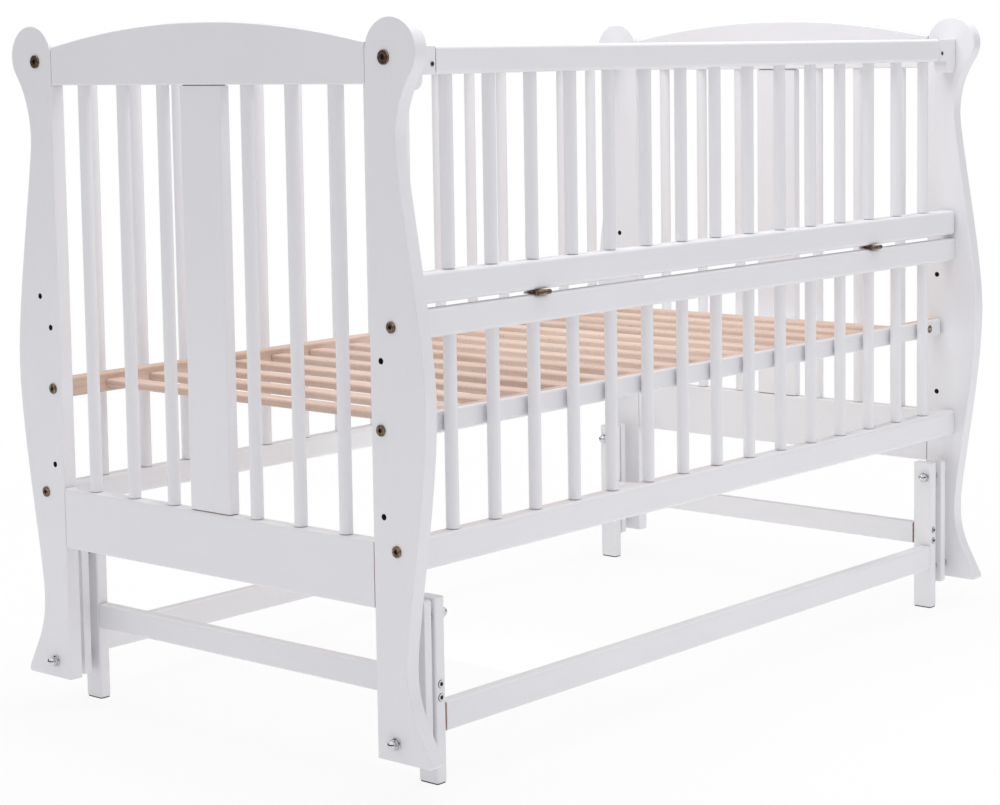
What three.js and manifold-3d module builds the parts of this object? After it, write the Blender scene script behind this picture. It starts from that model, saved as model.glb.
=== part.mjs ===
// Swinging crib with a fold-down front
// Millimetres, +Z up. The origin is on the floor at the middle of the crib.
// +X runs to the right end and -Y to the front, whose upper half folds down.
import * as THREE from 'three';
import Module from 'manifold-3d';
import { mergeVertices } from 'three/addons/utils/BufferGeometryUtils.js';

const wasm = await Module();
wasm.setup();

// Clearances
const seatGap = 0.3;
const runningGap = 0.3;
const overrun = 1;

// Inside space, a 1200 x 600 mattress with room to tuck a sheet
const mattressLength = 1200;
const mattressWidth = 600;
const lengthRoom = 2;
const widthRoom = 6;

// Posts, drawn from their inner edge outwards and from the floor up
const postThickness = 20;
const postArris = 1.5;
const postLap = 24.5;
const postFootRise = 39.7;
const postFootWidth = 86;
const postFootRound = 7;
const postAnkleWidth = 48.5;
const postAnkleHeight = 147;
const postBellyWidth = 84.3;
const postBellyHeight = 455;
const postNeckWidth = 45.2;
const postNeckDrop = 144;
const postHeadRadius = 39.3;
const postHeight = 892;
const postChinAngle = -Math.PI / 5;

// How far each stretch of the post's S keeps its direction, as shares of the stretch
const footFlareShare = 0.76;
const instepShare = 0.42;
const ankleShare = 0.17;
const bellyLowShare = 0.34;
const bellyHighShare = 0.26;
const neckLowShare = 0.12;
const neckHighShare = 0.4;
const chinShare = 0.32;

// Side rails
const sideRailThickness = 24;
const sideRailRound = 5;
const topRailDrop = 33;
const topRailHeight = 33;
const foldHeight = 562.75;
const foldRailHeight = 37;
const middleRailHeight = 34;
const bottomRailTop = 298;
const bottomRailHeight = 38;
const panelEndGap = 3;

// Turned spindles
const spindleDiameter = 16;
const sideSpindles = 15;
const endSpindles = 3;
const spindleRoot = 4;

// End panels
const endArchRise = 27.5;
const endTopRailDrop = 28;
const endTopRailHeight = 47.6;
const endRailArris = 2;
const endBottomRailTop = 294.5;
const endBottomRailHeight = 79;
const endBottomRailRound = 3;
const endSlatWidth = 71;
const endSlatThickness = 16;
const endSlatRound = 3;

// Mattress base
const baseTop = 437;
const baseRailHeight = 26;
const baseRailThickness = 19;
const baseRailRound = 4;
const baseSlats = 15;
const baseSlatWidth = 28;
const baseSlatThickness = 16;
const baseSlatRound = 5;
const baseSlatDrop = 3;
const baseHoleRadius = 3.8;
const baseHoleInset = 17;
const baseHoleLow = 324.3;
const baseHoleHigh = 503.6;

// Stand
const legThickness = 17;
const legWidth = 30;
const legTopMargin = 22;
const legRound = 3;
const legInset = 38;
const glideHeight = 1.5;
const glideInset = 0.8;
const endStretcherTop = 129;
const endStretcherHeight = 32;
const endStretcherThickness = 18;
const longStretcherTop = 96;
const longStretcherHeight = 35;
const longStretcherThickness = 18;
const stretcherRound = 3;

// Swing arms and their pivots
const armThickness = 12;
const armWidth = 27;
const armLength = 139.1;
const armRound = 2.5;
const armArris = 1.2;
const armTopMargin = 22;
const armBottomMargin = 24.4;
const armToLeg = 9;
const pivotHeight = 61.4;
const pivotInset = 29;
const pivotOffset = 4.5;
const pivotRadius = 4;
const spacerRadius = 7;
const capRadius = 6.8;
const capHeight = 11;
const capDomeShare = 0.9;
const washerRadius = 7.8;
const washerThickness = 1.6;
const headThickness = 4;

// Butt hinges of the folding front
const hingeSpread = 379;
const hingeLength = 42;
const hingePinRadius = 1.3;
const hingeKnuckleRadius = 3.2;
const hingeStandOff = 3.3;
const hingeLeafThickness = 1.5;
const hingeLeafGap = 0.9;
const hingeLeafReach = 19;

// Sliding latches in the ends of the folding front's top rail
const latchGap = 0.8;
const latchBoltRadius = 4;
const latchBoltLength = 60;
const latchTravel = 12;
const latchStemRadius = 2.5;
const latchKnobRadius = 7;
const latchKnobThickness = 5;
const latchDepthShare = 0.5;

// Fixed blocks that the latches shoot into
const blockLength = 22;
const cheekLength = 24.6;
const cheekDrop = 17;
const cheekRound = 12;

// Fineness of curves
const roundSteps = 3;
const curveSteps = 7;
const arrisSteps = 1;
const spindleSides = 12;
const boreSides = 12;
const domeSteps = 3;
const samePoint = 0.01;

// Places worked out from the sizes above
const clearX = (mattressLength + lengthRoom) / 2;
const sideInner = (mattressWidth + widthRoom) / 2;
const sideCentre = sideInner + sideRailThickness / 2;
const sideOuter = sideInner + sideRailThickness;
const postInner = sideInner - postLap;
const postCentreX = clearX + postThickness / 2;
const postNeckHeight = postHeight - postNeckDrop;
const topRailTop = postHeight - topRailDrop;
const endTopRailUnderside = postHeight - endTopRailDrop - endTopRailHeight;
const foldGap = 2 * (seatGap + hingeLeafThickness) + hingeLeafGap;
const foldRailBottom = foldHeight + foldGap / 2;
const middleRailTop = foldHeight - foldGap / 2;
const blockInner = clearX - seatGap - cheekLength - blockLength;
const panelTopHalf = blockInner - latchGap;
const legCentreX = clearX - legInset - legThickness / 2;
const pivotY = postInner + pivotInset;
const armCentreX = legCentreX + legThickness / 2 + armToLeg + armThickness / 2;
const latchHeight = topRailTop - topRailHeight * latchDepthShare;
const hingeY = sideOuter + hingeStandOff;
const sideSpindlePitch = (2 * clearX) / (sideSpindles + 1);
const baseSlatPitch = (2 * clearX) / (baseSlats + 1);

// Finishes
const whitePaint = { color: 0xe8e7ea, roughness: 0.45, metalness: 0 };
const beech = { color: 0xdcbfa4, roughness: 0.6, metalness: 0 };
const bronze = { color: 0x6b5138, roughness: 0.4, metalness: 0.9 };
const chrome = { color: 0xd3d4d8, roughness: 0.15, metalness: 1 };

const crib = new THREE.Group();

// A closed geometry as a solid, and a solid as a geometry
function solidOf(geometry) {
  const bare = geometry.clone();
  bare.deleteAttribute('normal');
  bare.deleteAttribute('uv');
  const merged = mergeVertices(bare);
  const corners = merged.index.array;
  const kept = [];
  for (let i = 0; i < corners.length; i += 3) {
    const [a, b, c] = [corners[i], corners[i + 1], corners[i + 2]];
    if (a !== b && b !== c && c !== a) kept.push(a, b, c);
  }
  const vertProperties = new Float32Array(merged.attributes.position.array);
  const triVerts = new Uint32Array(kept);
  return new wasm.Manifold(new wasm.Mesh({ numProp: 3, vertProperties, triVerts }));
}

function geometryOf(solid) {
  const mesh = solid.getMesh();
  const geometry = new THREE.BufferGeometry();
  geometry.setAttribute('position', new THREE.BufferAttribute(mesh.vertProperties, 3));
  geometry.setIndex(new THREE.BufferAttribute(mesh.triVerts, 1));
  geometry.computeVertexNormals();
  return geometry;
}

// One named piece of the crib
function addPiece(name, solid, finish, place = [0, 0, 0]) {
  const mesh = new THREE.Mesh(geometryOf(solid), new THREE.MeshStandardMaterial(finish));
  mesh.name = name;
  mesh.position.set(...place);
  crib.add(mesh);
}

// Outlines drawn in (Y, Z) and pushed along X, or in (X, Z) and pushed along Y
const unitX = new THREE.Vector3(1, 0, 0);
const unitY = new THREE.Vector3(0, 1, 0);
const unitZ = new THREE.Vector3(0, 0, 1);
const alongX = new THREE.Matrix4().makeBasis(unitY, unitZ, unitX);
const alongY = new THREE.Matrix4().makeBasis(unitX, unitZ, unitY.clone().negate());

function pushed(shape, length, turn, arris = 0) {
  const points = shape.getPoints(curveSteps);
  const apart = points.filter((point, i) => point.distanceTo(points.at(i - 1)) > samePoint);
  const geometry = new THREE.ExtrudeGeometry(new THREE.Shape(apart), {
    depth: length - 2 * arris,
    bevelEnabled: arris > 0,
    bevelThickness: arris,
    bevelSize: arris,
    bevelOffset: -arris,
    bevelSegments: arrisSteps,
  });
  geometry.translate(0, 0, arris - length / 2);
  return solidOf(turn ? geometry.applyMatrix4(turn) : geometry);
}

// A rectangle with rounded corners about the outline's origin
function roundedRectangle(width, height, radius) {
  const r = Math.min(radius, width / 2 - seatGap, height / 2 - seatGap);
  const [x, y] = [width / 2 - r, height / 2 - r];
  const points = [];
  [[x, y, 0], [-x, y, 1], [-x, -y, 2], [x, -y, 3]].forEach(([cx, cy, quarter]) => {
    for (let i = 0; i <= roundSteps; i += 1) {
      const angle = (quarter + i / roundSteps) * (Math.PI / 2);
      points.push(new THREE.Vector2(cx + r * Math.cos(angle), cy + r * Math.sin(angle)));
    }
  });
  return new THREE.Shape(points);
}

// A round bar between two points on a line parallel to X, Y or Z
function roundBar(radius, from, to, sides) {
  const [start, end] = [new THREE.Vector3(...from), new THREE.Vector3(...to)];
  const geometry = new THREE.CylinderGeometry(radius, radius, start.distanceTo(end), sides);
  const direction = end.clone().sub(start).normalize();
  geometry.applyQuaternion(new THREE.Quaternion().setFromUnitVectors(unitY, direction));
  const middle = start.clone().add(end).multiplyScalar(1 / 2);
  return solidOf(geometry.translate(middle.x, middle.y, middle.z));
}

function block(low, high) {
  const size = low.map((value, k) => high[k] - value);
  const geometry = new THREE.BoxGeometry(...size);
  geometry.translate(...low.map((value, k) => value + size[k] / 2));
  return solidOf(geometry);
}

// Post outline: an S from the splayed foot over the ankle, belly and neck to a round head
function postShape(side) {
  const at = (width, height) => [side * (postInner + width), height];
  const headHeight = postHeight - postHeadRadius;
  const chinX = postHeadRadius + postHeadRadius * Math.cos(postChinAngle);
  const chinY = headHeight + postHeadRadius * Math.sin(postChinAngle);
  const instep = postAnkleHeight - postFootRise;
  const calf = postBellyHeight - postAnkleHeight;
  const chest = postNeckHeight - postBellyHeight;
  const throat = chinY - postNeckHeight;
  const chinPull = throat * chinShare;
  const outline = new THREE.Shape();
  outline.moveTo(...at(0, postFootRise));
  outline.lineTo(...at(postFootWidth - postFootRound, postFootRise));
  outline.quadraticCurveTo(
    ...at(postFootWidth, postFootRise),
    ...at(postFootWidth - postFootRound / 3, postFootRise + postFootRound),
  );
  outline.bezierCurveTo(
    ...at(postFootWidth * footFlareShare, postFootRise + instep * instepShare),
    ...at(postAnkleWidth, postAnkleHeight - instep * instepShare),
    ...at(postAnkleWidth, postAnkleHeight),
  );
  outline.bezierCurveTo(
    ...at(postAnkleWidth, postAnkleHeight + calf * ankleShare),
    ...at(postBellyWidth, postBellyHeight - calf * bellyLowShare),
    ...at(postBellyWidth, postBellyHeight),
  );
  outline.bezierCurveTo(
    ...at(postBellyWidth, postBellyHeight + chest * bellyHighShare),
    ...at(postNeckWidth, postNeckHeight - chest * neckLowShare),
    ...at(postNeckWidth, postNeckHeight),
  );
  outline.bezierCurveTo(
    ...at(postNeckWidth, postNeckHeight + throat * neckHighShare),
    ...at(
      chinX + chinPull * Math.sin(postChinAngle),
      chinY - chinPull * Math.cos(postChinAngle),
    ),
    ...at(chinX, chinY),
  );
  const headSteps = 2 * curveSteps;
  for (let i = 1; i <= headSteps; i += 1) {
    const angle = postChinAngle + (i / headSteps) * (Math.PI - postChinAngle);
    outline.lineTo(...at(
      postHeadRadius + postHeadRadius * Math.cos(angle),
      headHeight + postHeadRadius * Math.sin(angle),
    ));
  }
  return outline;
}

function post(side, isBack) {
  const reach = postThickness / 2 + overrun;
  const drill = (y, z, radius) => roundBar(radius, [-reach, y, z], [reach, y, z], boreSides);
  const baseHoleY = side * (postInner + baseHoleInset);
  let solid = pushed(postShape(side), postThickness, alongX, postArris);
  solid = solid.subtract(drill(baseHoleY, baseHoleLow, baseHoleRadius));
  solid = solid.subtract(drill(baseHoleY, baseHoleHigh, baseHoleRadius));
  if (isBack) {
    const spareHoleHeight = middleRailTop - middleRailHeight / 2;
    solid = solid.subtract(drill(side * sideCentre, spareHoleHeight, baseHoleRadius));
  }
  return solid.subtract(drill(side * pivotY, pivotHeight, pivotRadius + seatGap));
}

for (const [end, endName] of [[-1, 'left'], [1, 'right']]) {
  addPiece(`post_front_${endName}`, post(-1, false), whitePaint, [end * postCentreX, 0, 0]);
  addPiece(`post_back_${endName}`, post(1, true), whitePaint, [end * postCentreX, 0, 0]);
}

// End top rail: flat below, one arc above
function endTopRail() {
  const half = postInner - seatGap;
  const shoulder = endTopRailUnderside + endTopRailHeight;
  const radius = (half * half + endArchRise * endArchRise) / (2 * endArchRise);
  const centre = shoulder + endArchRise - radius;
  const sweep = Math.asin(half / radius);
  const outline = new THREE.Shape();
  outline.moveTo(-half, endTopRailUnderside);
  outline.lineTo(half, endTopRailUnderside);
  const steps = 2 * curveSteps;
  for (let i = 0; i <= steps; i += 1) {
    const angle = sweep * (1 - (2 * i) / steps);
    outline.lineTo(radius * Math.sin(angle), centre + radius * Math.cos(angle));
  }
  return pushed(outline, postThickness, alongX, endRailArris);
}

// End bottom rail with the spindles and the wide middle slat glued into it
function endBottomRail() {
  const half = postInner - seatGap;
  const outline = roundedRectangle(postThickness, endBottomRailHeight, endBottomRailRound);
  const railCentre = endBottomRailTop - endBottomRailHeight / 2;
  let solid = pushed(outline, 2 * half, alongY).translate(0, 0, railCentre);
  const root = endBottomRailTop - spindleRoot;
  const tip = endTopRailUnderside - seatGap;
  const postMarginShare = 0.7;
  const pitch = postInner / (endSpindles + postMarginShare);
  for (let i = 1; i <= endSpindles; i += 1) {
    for (const y of [-i * pitch, i * pitch]) {
      solid = solid.add(roundBar(spindleDiameter / 2, [0, y, root], [0, y, tip], spindleSides));
    }
  }
  const slat = pushed(roundedRectangle(endSlatThickness, endSlatWidth, endSlatRound), tip - root);
  return solid.add(slat.translate(0, 0, (root + tip) / 2));
}

for (const [end, endName] of [[-1, 'left'], [1, 'right']]) {
  addPiece(`end_top_rail_${endName}`, endTopRail(), whitePaint, [end * postCentreX, 0, 0]);
  addPiece(`end_bottom_rail_${endName}`, endBottomRail(), whitePaint, [end * postCentreX, 0, 0]);
}

// Side rail lying along X, about its own middle in X and Y
function sideRail(halfLength, top, height) {
  const outline = roundedRectangle(sideRailThickness, height, sideRailRound);
  return pushed(outline, 2 * halfLength, alongX).translate(0, 0, top - height / 2);
}

// The same rail with a row of spindles standing in it
function spindledRail(halfLength, top, height, spindleTop) {
  let solid = sideRail(halfLength, top, height);
  for (let i = 0; i < sideSpindles; i += 1) {
    const x = (i - (sideSpindles - 1) / 2) * sideSpindlePitch;
    const root = [x, 0, top - spindleRoot];
    const tip = [x, 0, spindleTop - seatGap];
    solid = solid.add(roundBar(spindleDiameter / 2, root, tip, spindleSides));
  }
  return solid;
}

// Fixed back
const railHalf = clearX - seatGap;
const topRailUnderside = topRailTop - topRailHeight;
const backPlace = [0, sideCentre, 0];
const frontPlace = [0, -sideCentre, 0];
addPiece('back_top_rail', sideRail(railHalf, topRailTop, topRailHeight), whitePaint, backPlace);
addPiece(
  'back_bottom_rail',
  spindledRail(railHalf, bottomRailTop, bottomRailHeight, topRailUnderside),
  whitePaint,
  backPlace,
);

// Lower half of the front, which stays put
const middleRailUnderside = middleRailTop - middleRailHeight;
addPiece(
  'front_middle_rail',
  sideRail(railHalf, middleRailTop, middleRailHeight),
  whitePaint,
  frontPlace,
);
addPiece(
  'front_bottom_rail',
  spindledRail(railHalf, bottomRailTop, bottomRailHeight, middleRailUnderside),
  whitePaint,
  frontPlace,
);

// Upper half of the front, which folds down on its hinges
const foldRailTop = foldRailBottom + foldRailHeight;
addPiece(
  'fold_bottom_rail',
  spindledRail(clearX - panelEndGap, foldRailTop, foldRailHeight, topRailUnderside),
  whitePaint,
  frontPlace,
);

// Its top rail has a bore for a latch bolt in each end, with a slot for the knob behind
const boltHalf = latchBoltLength / 2;
const boltRest = panelTopHalf - seatGap - boltHalf;

function foldTopRail() {
  const boreRadius = latchBoltRadius + runningGap;
  const slotHalf = latchStemRadius + runningGap;
  let solid = sideRail(panelTopHalf, topRailTop, topRailHeight);
  for (const end of [-1, 1]) {
    const inner = [end * (boltRest - boltHalf - seatGap), 0, latchHeight];
    const mouth = [end * (panelTopHalf + overrun), 0, latchHeight];
    solid = solid.subtract(roundBar(boreRadius, inner, mouth, boreSides));
    const slotEnds = [boltRest - slotHalf, boltRest + latchTravel + slotHalf].map((x) => end * x);
    solid = solid.subtract(block(
      [Math.min(...slotEnds), 0, latchHeight - slotHalf],
      [Math.max(...slotEnds), sideRailThickness / 2 + overrun, latchHeight + slotHalf],
    ));
  }
  return solid;
}

function latchBolt() {
  const railBack = sideRailThickness / 2;
  const knobFace = railBack + runningGap;
  const bolt = roundBar(latchBoltRadius, [-boltHalf, 0, 0], [boltHalf, 0, 0], boreSides);
  const stem = roundBar(latchStemRadius, [0, 0, 0], [0, knobFace + overrun, 0], boreSides);
  const knobEnd = [0, knobFace + latchKnobThickness, 0];
  return bolt.add(stem).add(roundBar(latchKnobRadius, [0, knobFace, 0], knobEnd, boreSides));
}

addPiece('fold_top_rail', foldTopRail(), whitePaint, frontPlace);
for (const [end, endName] of [[-1, 'left'], [1, 'right']]) {
  addPiece(`latch_bolt_${endName}`, latchBolt(), bronze, [end * boltRest, -sideCentre, latchHeight]);
}

// Fixed block on each front post, with a hole for the bolt and a cheek down the post
function latchBlock(end) {
  const [inner, step, outer] = [blockInner, blockInner + blockLength, clearX - seatGap];
  const low = topRailTop - topRailHeight;
  const foot = low - cheekDrop;
  const round = Math.min(cheekRound, cheekLength / 2);
  const outline = new THREE.Shape();
  outline.moveTo(end * inner, low);
  outline.lineTo(end * inner, topRailTop);
  outline.lineTo(end * outer, topRailTop);
  outline.lineTo(end * outer, foot + round);
  outline.quadraticCurveTo(end * outer, foot, end * (outer - round), foot);
  outline.quadraticCurveTo(end * step, foot, end * step, foot + round);
  outline.lineTo(end * step, low);
  const depth = latchTravel + overrun;
  const mouth = [end * (inner - overrun), 0, latchHeight];
  const bottom = [end * (inner + depth), 0, latchHeight];
  const bore = roundBar(latchBoltRadius + runningGap, mouth, bottom, boreSides);
  return pushed(outline, sideRailThickness, alongY, endRailArris).subtract(bore);
}

for (const [end, endName] of [[-1, 'left'], [1, 'right']]) {
  addPiece(`latch_block_${endName}`, latchBlock(end), whitePaint, frontPlace);
}

// Butt hinges let in between the two front rails; the pin belongs to the lower leaf
const knuckleLength = hingeLength / 3;

function knuckle(middle) {
  const half = knuckleLength / 2 - runningGap / 2;
  return roundBar(hingeKnuckleRadius, [middle - half, 0, 0], [middle + half, 0, 0], boreSides);
}

// A leaf runs from the knuckles back between the rails, notched round the other leaf's knuckles
function leaf(side, low, high) {
  const base = side * (hingeLeafGap / 2);
  const face = side * (hingeLeafGap / 2 + hingeLeafThickness);
  const reach = hingeStandOff + hingeLeafReach;
  const bottom = Math.min(base, face);
  const top = Math.max(base, face);
  return block([low, 0, bottom], [high, reach, top]);
}

function lowerLeaf() {
  const half = hingeLength / 2;
  const notch = knuckleLength / 2 + runningGap / 2;
  const clear = hingeKnuckleRadius + runningGap;
  const gapBox = block([-notch, -clear, -clear], [notch, clear, clear]);
  const pin = roundBar(hingePinRadius, [-half, 0, 0], [half, 0, 0], boreSides);
  const leafSolid = leaf(-1, runningGap / 2 - half, half - runningGap / 2).subtract(gapBox);
  return leafSolid.add(knuckle(-knuckleLength)).add(knuckle(knuckleLength)).add(pin);
}

function upperLeaf() {
  const half = hingeLength / 2;
  const clear = hingeKnuckleRadius + runningGap;
  const notch = knuckleLength / 2 - runningGap / 2;
  const bore = roundBar(hingePinRadius + runningGap, [-half, 0, 0], [half, 0, 0], boreSides);
  let solid = leaf(1, runningGap / 2 - half, half - runningGap / 2);
  for (const side of [-1, 1]) {
    const cut = [side * notch, side * (half + overrun)];
    solid = solid.subtract(block(
      [Math.min(...cut), -clear, -clear],
      [Math.max(...cut), clear, clear],
    ));
  }
  return solid.add(knuckle(0)).subtract(bore);
}

for (const [end, endName] of [[-1, 'left'], [1, 'right']]) {
  const place = [end * hingeSpread, -hingeY, foldHeight];
  addPiece(`hinge_lower_leaf_${endName}`, lowerLeaf(), bronze, place);
  addPiece(`hinge_upper_leaf_${endName}`, upperLeaf(), bronze, place);
}

// Mattress base: two side rails bolted to the posts, with slats let in between
const baseRailY = postInner + baseHoleInset;
const baseRailOutline = roundedRectangle(baseRailThickness, baseRailHeight, baseRailRound);
const baseRail = pushed(baseRailOutline, 2 * railHalf, alongX);
const baseRailHeightMid = baseTop - baseRailHeight / 2;
addPiece('base_rail_front', baseRail, beech, [0, -baseRailY, baseRailHeightMid]);
addPiece('base_rail_back', baseRail, beech, [0, baseRailY, baseRailHeightMid]);

const slatHalf = baseRailY - baseRailThickness / 2 - seatGap;
const slatOutline = roundedRectangle(baseSlatWidth, baseSlatThickness, baseSlatRound);
const slat = pushed(slatOutline, 2 * slatHalf, alongY);
const slatHeightMid = baseTop - baseSlatDrop - baseSlatThickness / 2;
for (let i = 0; i < baseSlats; i += 1) {
  const x = (i - (baseSlats - 1) / 2) * baseSlatPitch;
  addPiece(`base_slat_${i + 1}`, slat, beech, [x, 0, slatHeightMid]);
}

// Stand: four legs on glides, tied by a stretcher on each side
const legY = pivotY - pivotOffset;

function leg(side) {
  const outline = roundedRectangle(legThickness, legWidth, legRound);
  const padOutline = roundedRectangle(
    legThickness - 2 * glideInset,
    legWidth - 2 * glideInset,
    legRound,
  );
  const height = pivotHeight + armLength;
  const woodHeight = height + legTopMargin - glideHeight;
  const wood = pushed(outline, woodHeight).translate(0, 0, glideHeight + woodHeight / 2);
  const pad = pushed(padOutline, 2 * glideHeight).translate(0, 0, glideHeight);
  const reach = legThickness / 2 + overrun;
  const y = side * pivotOffset;
  const hole = roundBar(pivotRadius + seatGap, [-reach, y, height], [reach, y, height], boreSides);
  return wood.add(pad).subtract(hole);
}

const endStretcher = pushed(
  roundedRectangle(endStretcherThickness, endStretcherHeight, stretcherRound),
  2 * (legY - legWidth / 2 - seatGap),
  alongY,
);
const longStretcher = pushed(
  roundedRectangle(longStretcherThickness, longStretcherHeight, stretcherRound),
  2 * (legCentreX - legThickness / 2 - seatGap),
  alongX,
);
const longStretcherY = legY + (legWidth - longStretcherThickness) / 2;

// Swing arm: hangs from the leg at its top and carries the post at its foot
function arm() {
  const height = armTopMargin + armLength + armBottomMargin;
  const middle = (armTopMargin + armLength - armBottomMargin) / 2;
  const reach = armThickness / 2 + overrun;
  const eye = (z) => roundBar(pivotRadius + runningGap, [-reach, 0, z], [reach, 0, z], boreSides);
  const outline = roundedRectangle(armWidth, height, armRound);
  const bar = pushed(outline, armThickness, alongX, armArris).translate(0, 0, middle);
  return bar.subtract(eye(0)).subtract(eye(armLength));
}

// Pivot bolt turned about X: cap nut, washer, shank, spacer, shank and flat head
function pivotBolt(carrierThickness, spacerLength) {
  const profile = [[0, 0]];
  const line = (radius, x) => profile.push([radius, x]);
  const domeHeight = capRadius * capDomeShare;
  for (let i = 1; i <= domeSteps; i += 1) {
    const angle = (i / domeSteps) * (Math.PI / 2);
    line(capRadius * Math.sin(angle), domeHeight * (1 - Math.cos(angle)));
  }
  line(capRadius, capHeight);
  line(washerRadius, capHeight);
  const face = capHeight + washerThickness;
  line(washerRadius, face);
  line(pivotRadius, face);
  const spacerStart = face + seatGap + carrierThickness + seatGap;
  line(pivotRadius, spacerStart);
  line(spacerRadius, spacerStart);
  const spacerEnd = spacerStart + spacerLength - seatGap - runningGap;
  line(spacerRadius, spacerEnd);
  line(pivotRadius, spacerEnd);
  const headStart = spacerEnd + runningGap + armThickness + runningGap;
  line(pivotRadius, headStart);
  line(spacerRadius, headStart);
  line(spacerRadius, headStart + headThickness);
  line(0, headStart + headThickness);
  const points = profile.map(([radius, x]) => new THREE.Vector2(radius, x));
  const geometry = new THREE.LatheGeometry(points, boreSides).rotateZ(-Math.PI / 2);
  return solidOf(geometry.translate(-face - seatGap, 0, 0));
}

const legInnerX = legCentreX - legThickness / 2;
const postOuterX = clearX + postThickness;
const armToPost = clearX - armCentreX - armThickness / 2;
const upperBolt = pivotBolt(legThickness, armToLeg);
const lowerBolt = pivotBolt(postThickness, armToPost);
const turnAbout = (solid) => solid.rotate([0, 0, 180]);

for (const [end, endName] of [[-1, 'left'], [1, 'right']]) {
  for (const [side, sideName] of [[-1, 'front'], [1, 'back']]) {
    const which = `${sideName}_${endName}`;
    addPiece(`leg_${which}`, leg(side), whitePaint, [end * legCentreX, side * legY, 0]);
    const armPlace = [end * armCentreX, side * pivotY, pivotHeight];
    addPiece(`swing_arm_${which}`, arm(), whitePaint, armPlace);
    const upperPlace = [end * legInnerX, side * pivotY, pivotHeight + armLength];
    const lowerPlace = [end * postOuterX, side * pivotY, pivotHeight];
    addPiece(`upper_pivot_${which}`, end > 0 ? upperBolt : turnAbout(upperBolt), chrome, upperPlace);
    addPiece(`lower_pivot_${which}`, end > 0 ? turnAbout(lowerBolt) : lowerBolt, chrome, lowerPlace);
  }
  const stretcherHeight = endStretcherTop - endStretcherHeight / 2;
  const stretcherPlace = [end * legCentreX, 0, stretcherHeight];
  addPiece(`end_stretcher_${endName}`, endStretcher, whitePaint, stretcherPlace);
}
for (const [side, sideName] of [[-1, 'front'], [1, 'back']]) {
  const place = [0, side * longStretcherY, longStretcherTop - longStretcherHeight / 2];
  addPiece(`long_stretcher_${sideName}`, longStretcher, whitePaint, place);
}

export default crib;
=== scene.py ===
# Swinging crib with a fold-down front, dressed round its packed model.
# Metres, +Z up. The origin is on the floor at the middle of the crib.
# +X runs to the right end and -Y to the front, whose upper half folds down.
import math

import bmesh
import bpy
from bpy.props import FloatProperty, FloatVectorProperty, IntProperty, PointerProperty
from bpy.types import Operator, Panel, PropertyGroup
from mathutils import Euler, Matrix, Vector


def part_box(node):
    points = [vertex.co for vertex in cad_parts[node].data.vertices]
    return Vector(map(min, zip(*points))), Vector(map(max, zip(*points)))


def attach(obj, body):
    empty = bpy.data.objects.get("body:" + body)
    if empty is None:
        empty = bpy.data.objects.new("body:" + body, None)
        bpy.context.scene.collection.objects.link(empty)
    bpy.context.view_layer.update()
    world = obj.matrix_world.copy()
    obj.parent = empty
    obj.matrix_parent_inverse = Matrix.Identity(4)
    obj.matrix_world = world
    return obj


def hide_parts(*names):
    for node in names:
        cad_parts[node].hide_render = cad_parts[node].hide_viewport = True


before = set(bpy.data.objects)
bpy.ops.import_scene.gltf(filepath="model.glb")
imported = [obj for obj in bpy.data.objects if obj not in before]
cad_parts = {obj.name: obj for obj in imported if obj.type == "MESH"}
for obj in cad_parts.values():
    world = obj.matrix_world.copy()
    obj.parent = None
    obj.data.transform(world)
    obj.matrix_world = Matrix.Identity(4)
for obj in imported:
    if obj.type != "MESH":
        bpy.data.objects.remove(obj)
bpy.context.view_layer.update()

bl_info = {
    "name": "Swinging Crib",
    "version": (1, 0, 0),
    "blender": (4, 5, 0),
    "location": "3D View > Sidebar > Crib",
    "description": "Models and finishes the pieces of a swinging crib",
    "category": "Object",
}

MM = 0.001
ENDS = {"left": -1, "right": 1}
SIDES = {"front": -1, "back": 1}
CORNERS = [(side, end) for side in SIDES for end in ENDS]
X, Y, Z = range(3)
UNIT = (Vector((1, 0, 0)), Vector((0, 1, 0)), Vector((0, 0, 1)))

# Turns that stand a flat outline on edge, and a round piece on its side
PUSH_ALONG_X = (math.radians(90), 0, math.radians(90))
PUSH_ALONG_Y = (math.radians(90), 0, 0)
LIE_ALONG_X = (0, math.radians(90), 0)
LIE_ALONG_Y = (math.radians(-90), 0, 0)

# How near a point must be to count as on a face, the running gap between moving parts,
# and the depth of a drill that goes through any post, leg or arm
NEAR = MM / 100
GAP = 0.3 * MM
THROUGH = 60 * MM

# A finger knob over its foot: shares of its radius, and heights in millimetres
KNOB_PROFILE = ((0.86, 2.4), (0.98, 3.8), (0.8, 5), (0.5, 4.6))

# A bolt's head: its broken edge as a share of its rise, its shank and the edges of the ring
# in its face as shares of its radius
HEAD_RIM = 0.3
HEAD_SHANK = 0.45
HEAD_RING = (0.7, 0.66, 0.58, 0.54)

# Slots and materials of the metals
BRONZE = ("bronze", "bronzed_steel")
ZINC = ("chrome", "bright_zinc")

WHITE = (1, 1, 1, 1)
DARK_CLOTH = (0.02, 0.018, 0.016, 1)


def length(name, description, millimetres):
    """A size in metres, given in millimetres."""
    return FloatProperty(
        name=name, description=description, default=millimetres * MM,
        min=0, subtype="DISTANCE", unit="LENGTH",
    )


def share(name, description, value):
    """A share of another size."""
    return FloatProperty(name=name, description=description, default=value, min=0, max=1)


def colour(name, description, *levels):
    """A colour from the levels 0 to 255 that a screen shows."""
    linear = [
        v / 255 / 12.92 if v / 255 <= 0.04045 else ((v / 255 + 0.055) / 1.055) ** 2.4
        for v in levels
    ]
    return FloatVectorProperty(
        name=name, description=description, default=(*linear, 1),
        size=4, min=0, max=1, subtype="COLOR",
    )


def strength(name, description, value, **unit):
    """A lamp's power, or the strength of a light."""
    return FloatProperty(name=name, description=description, default=value, min=0, **unit)


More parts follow.
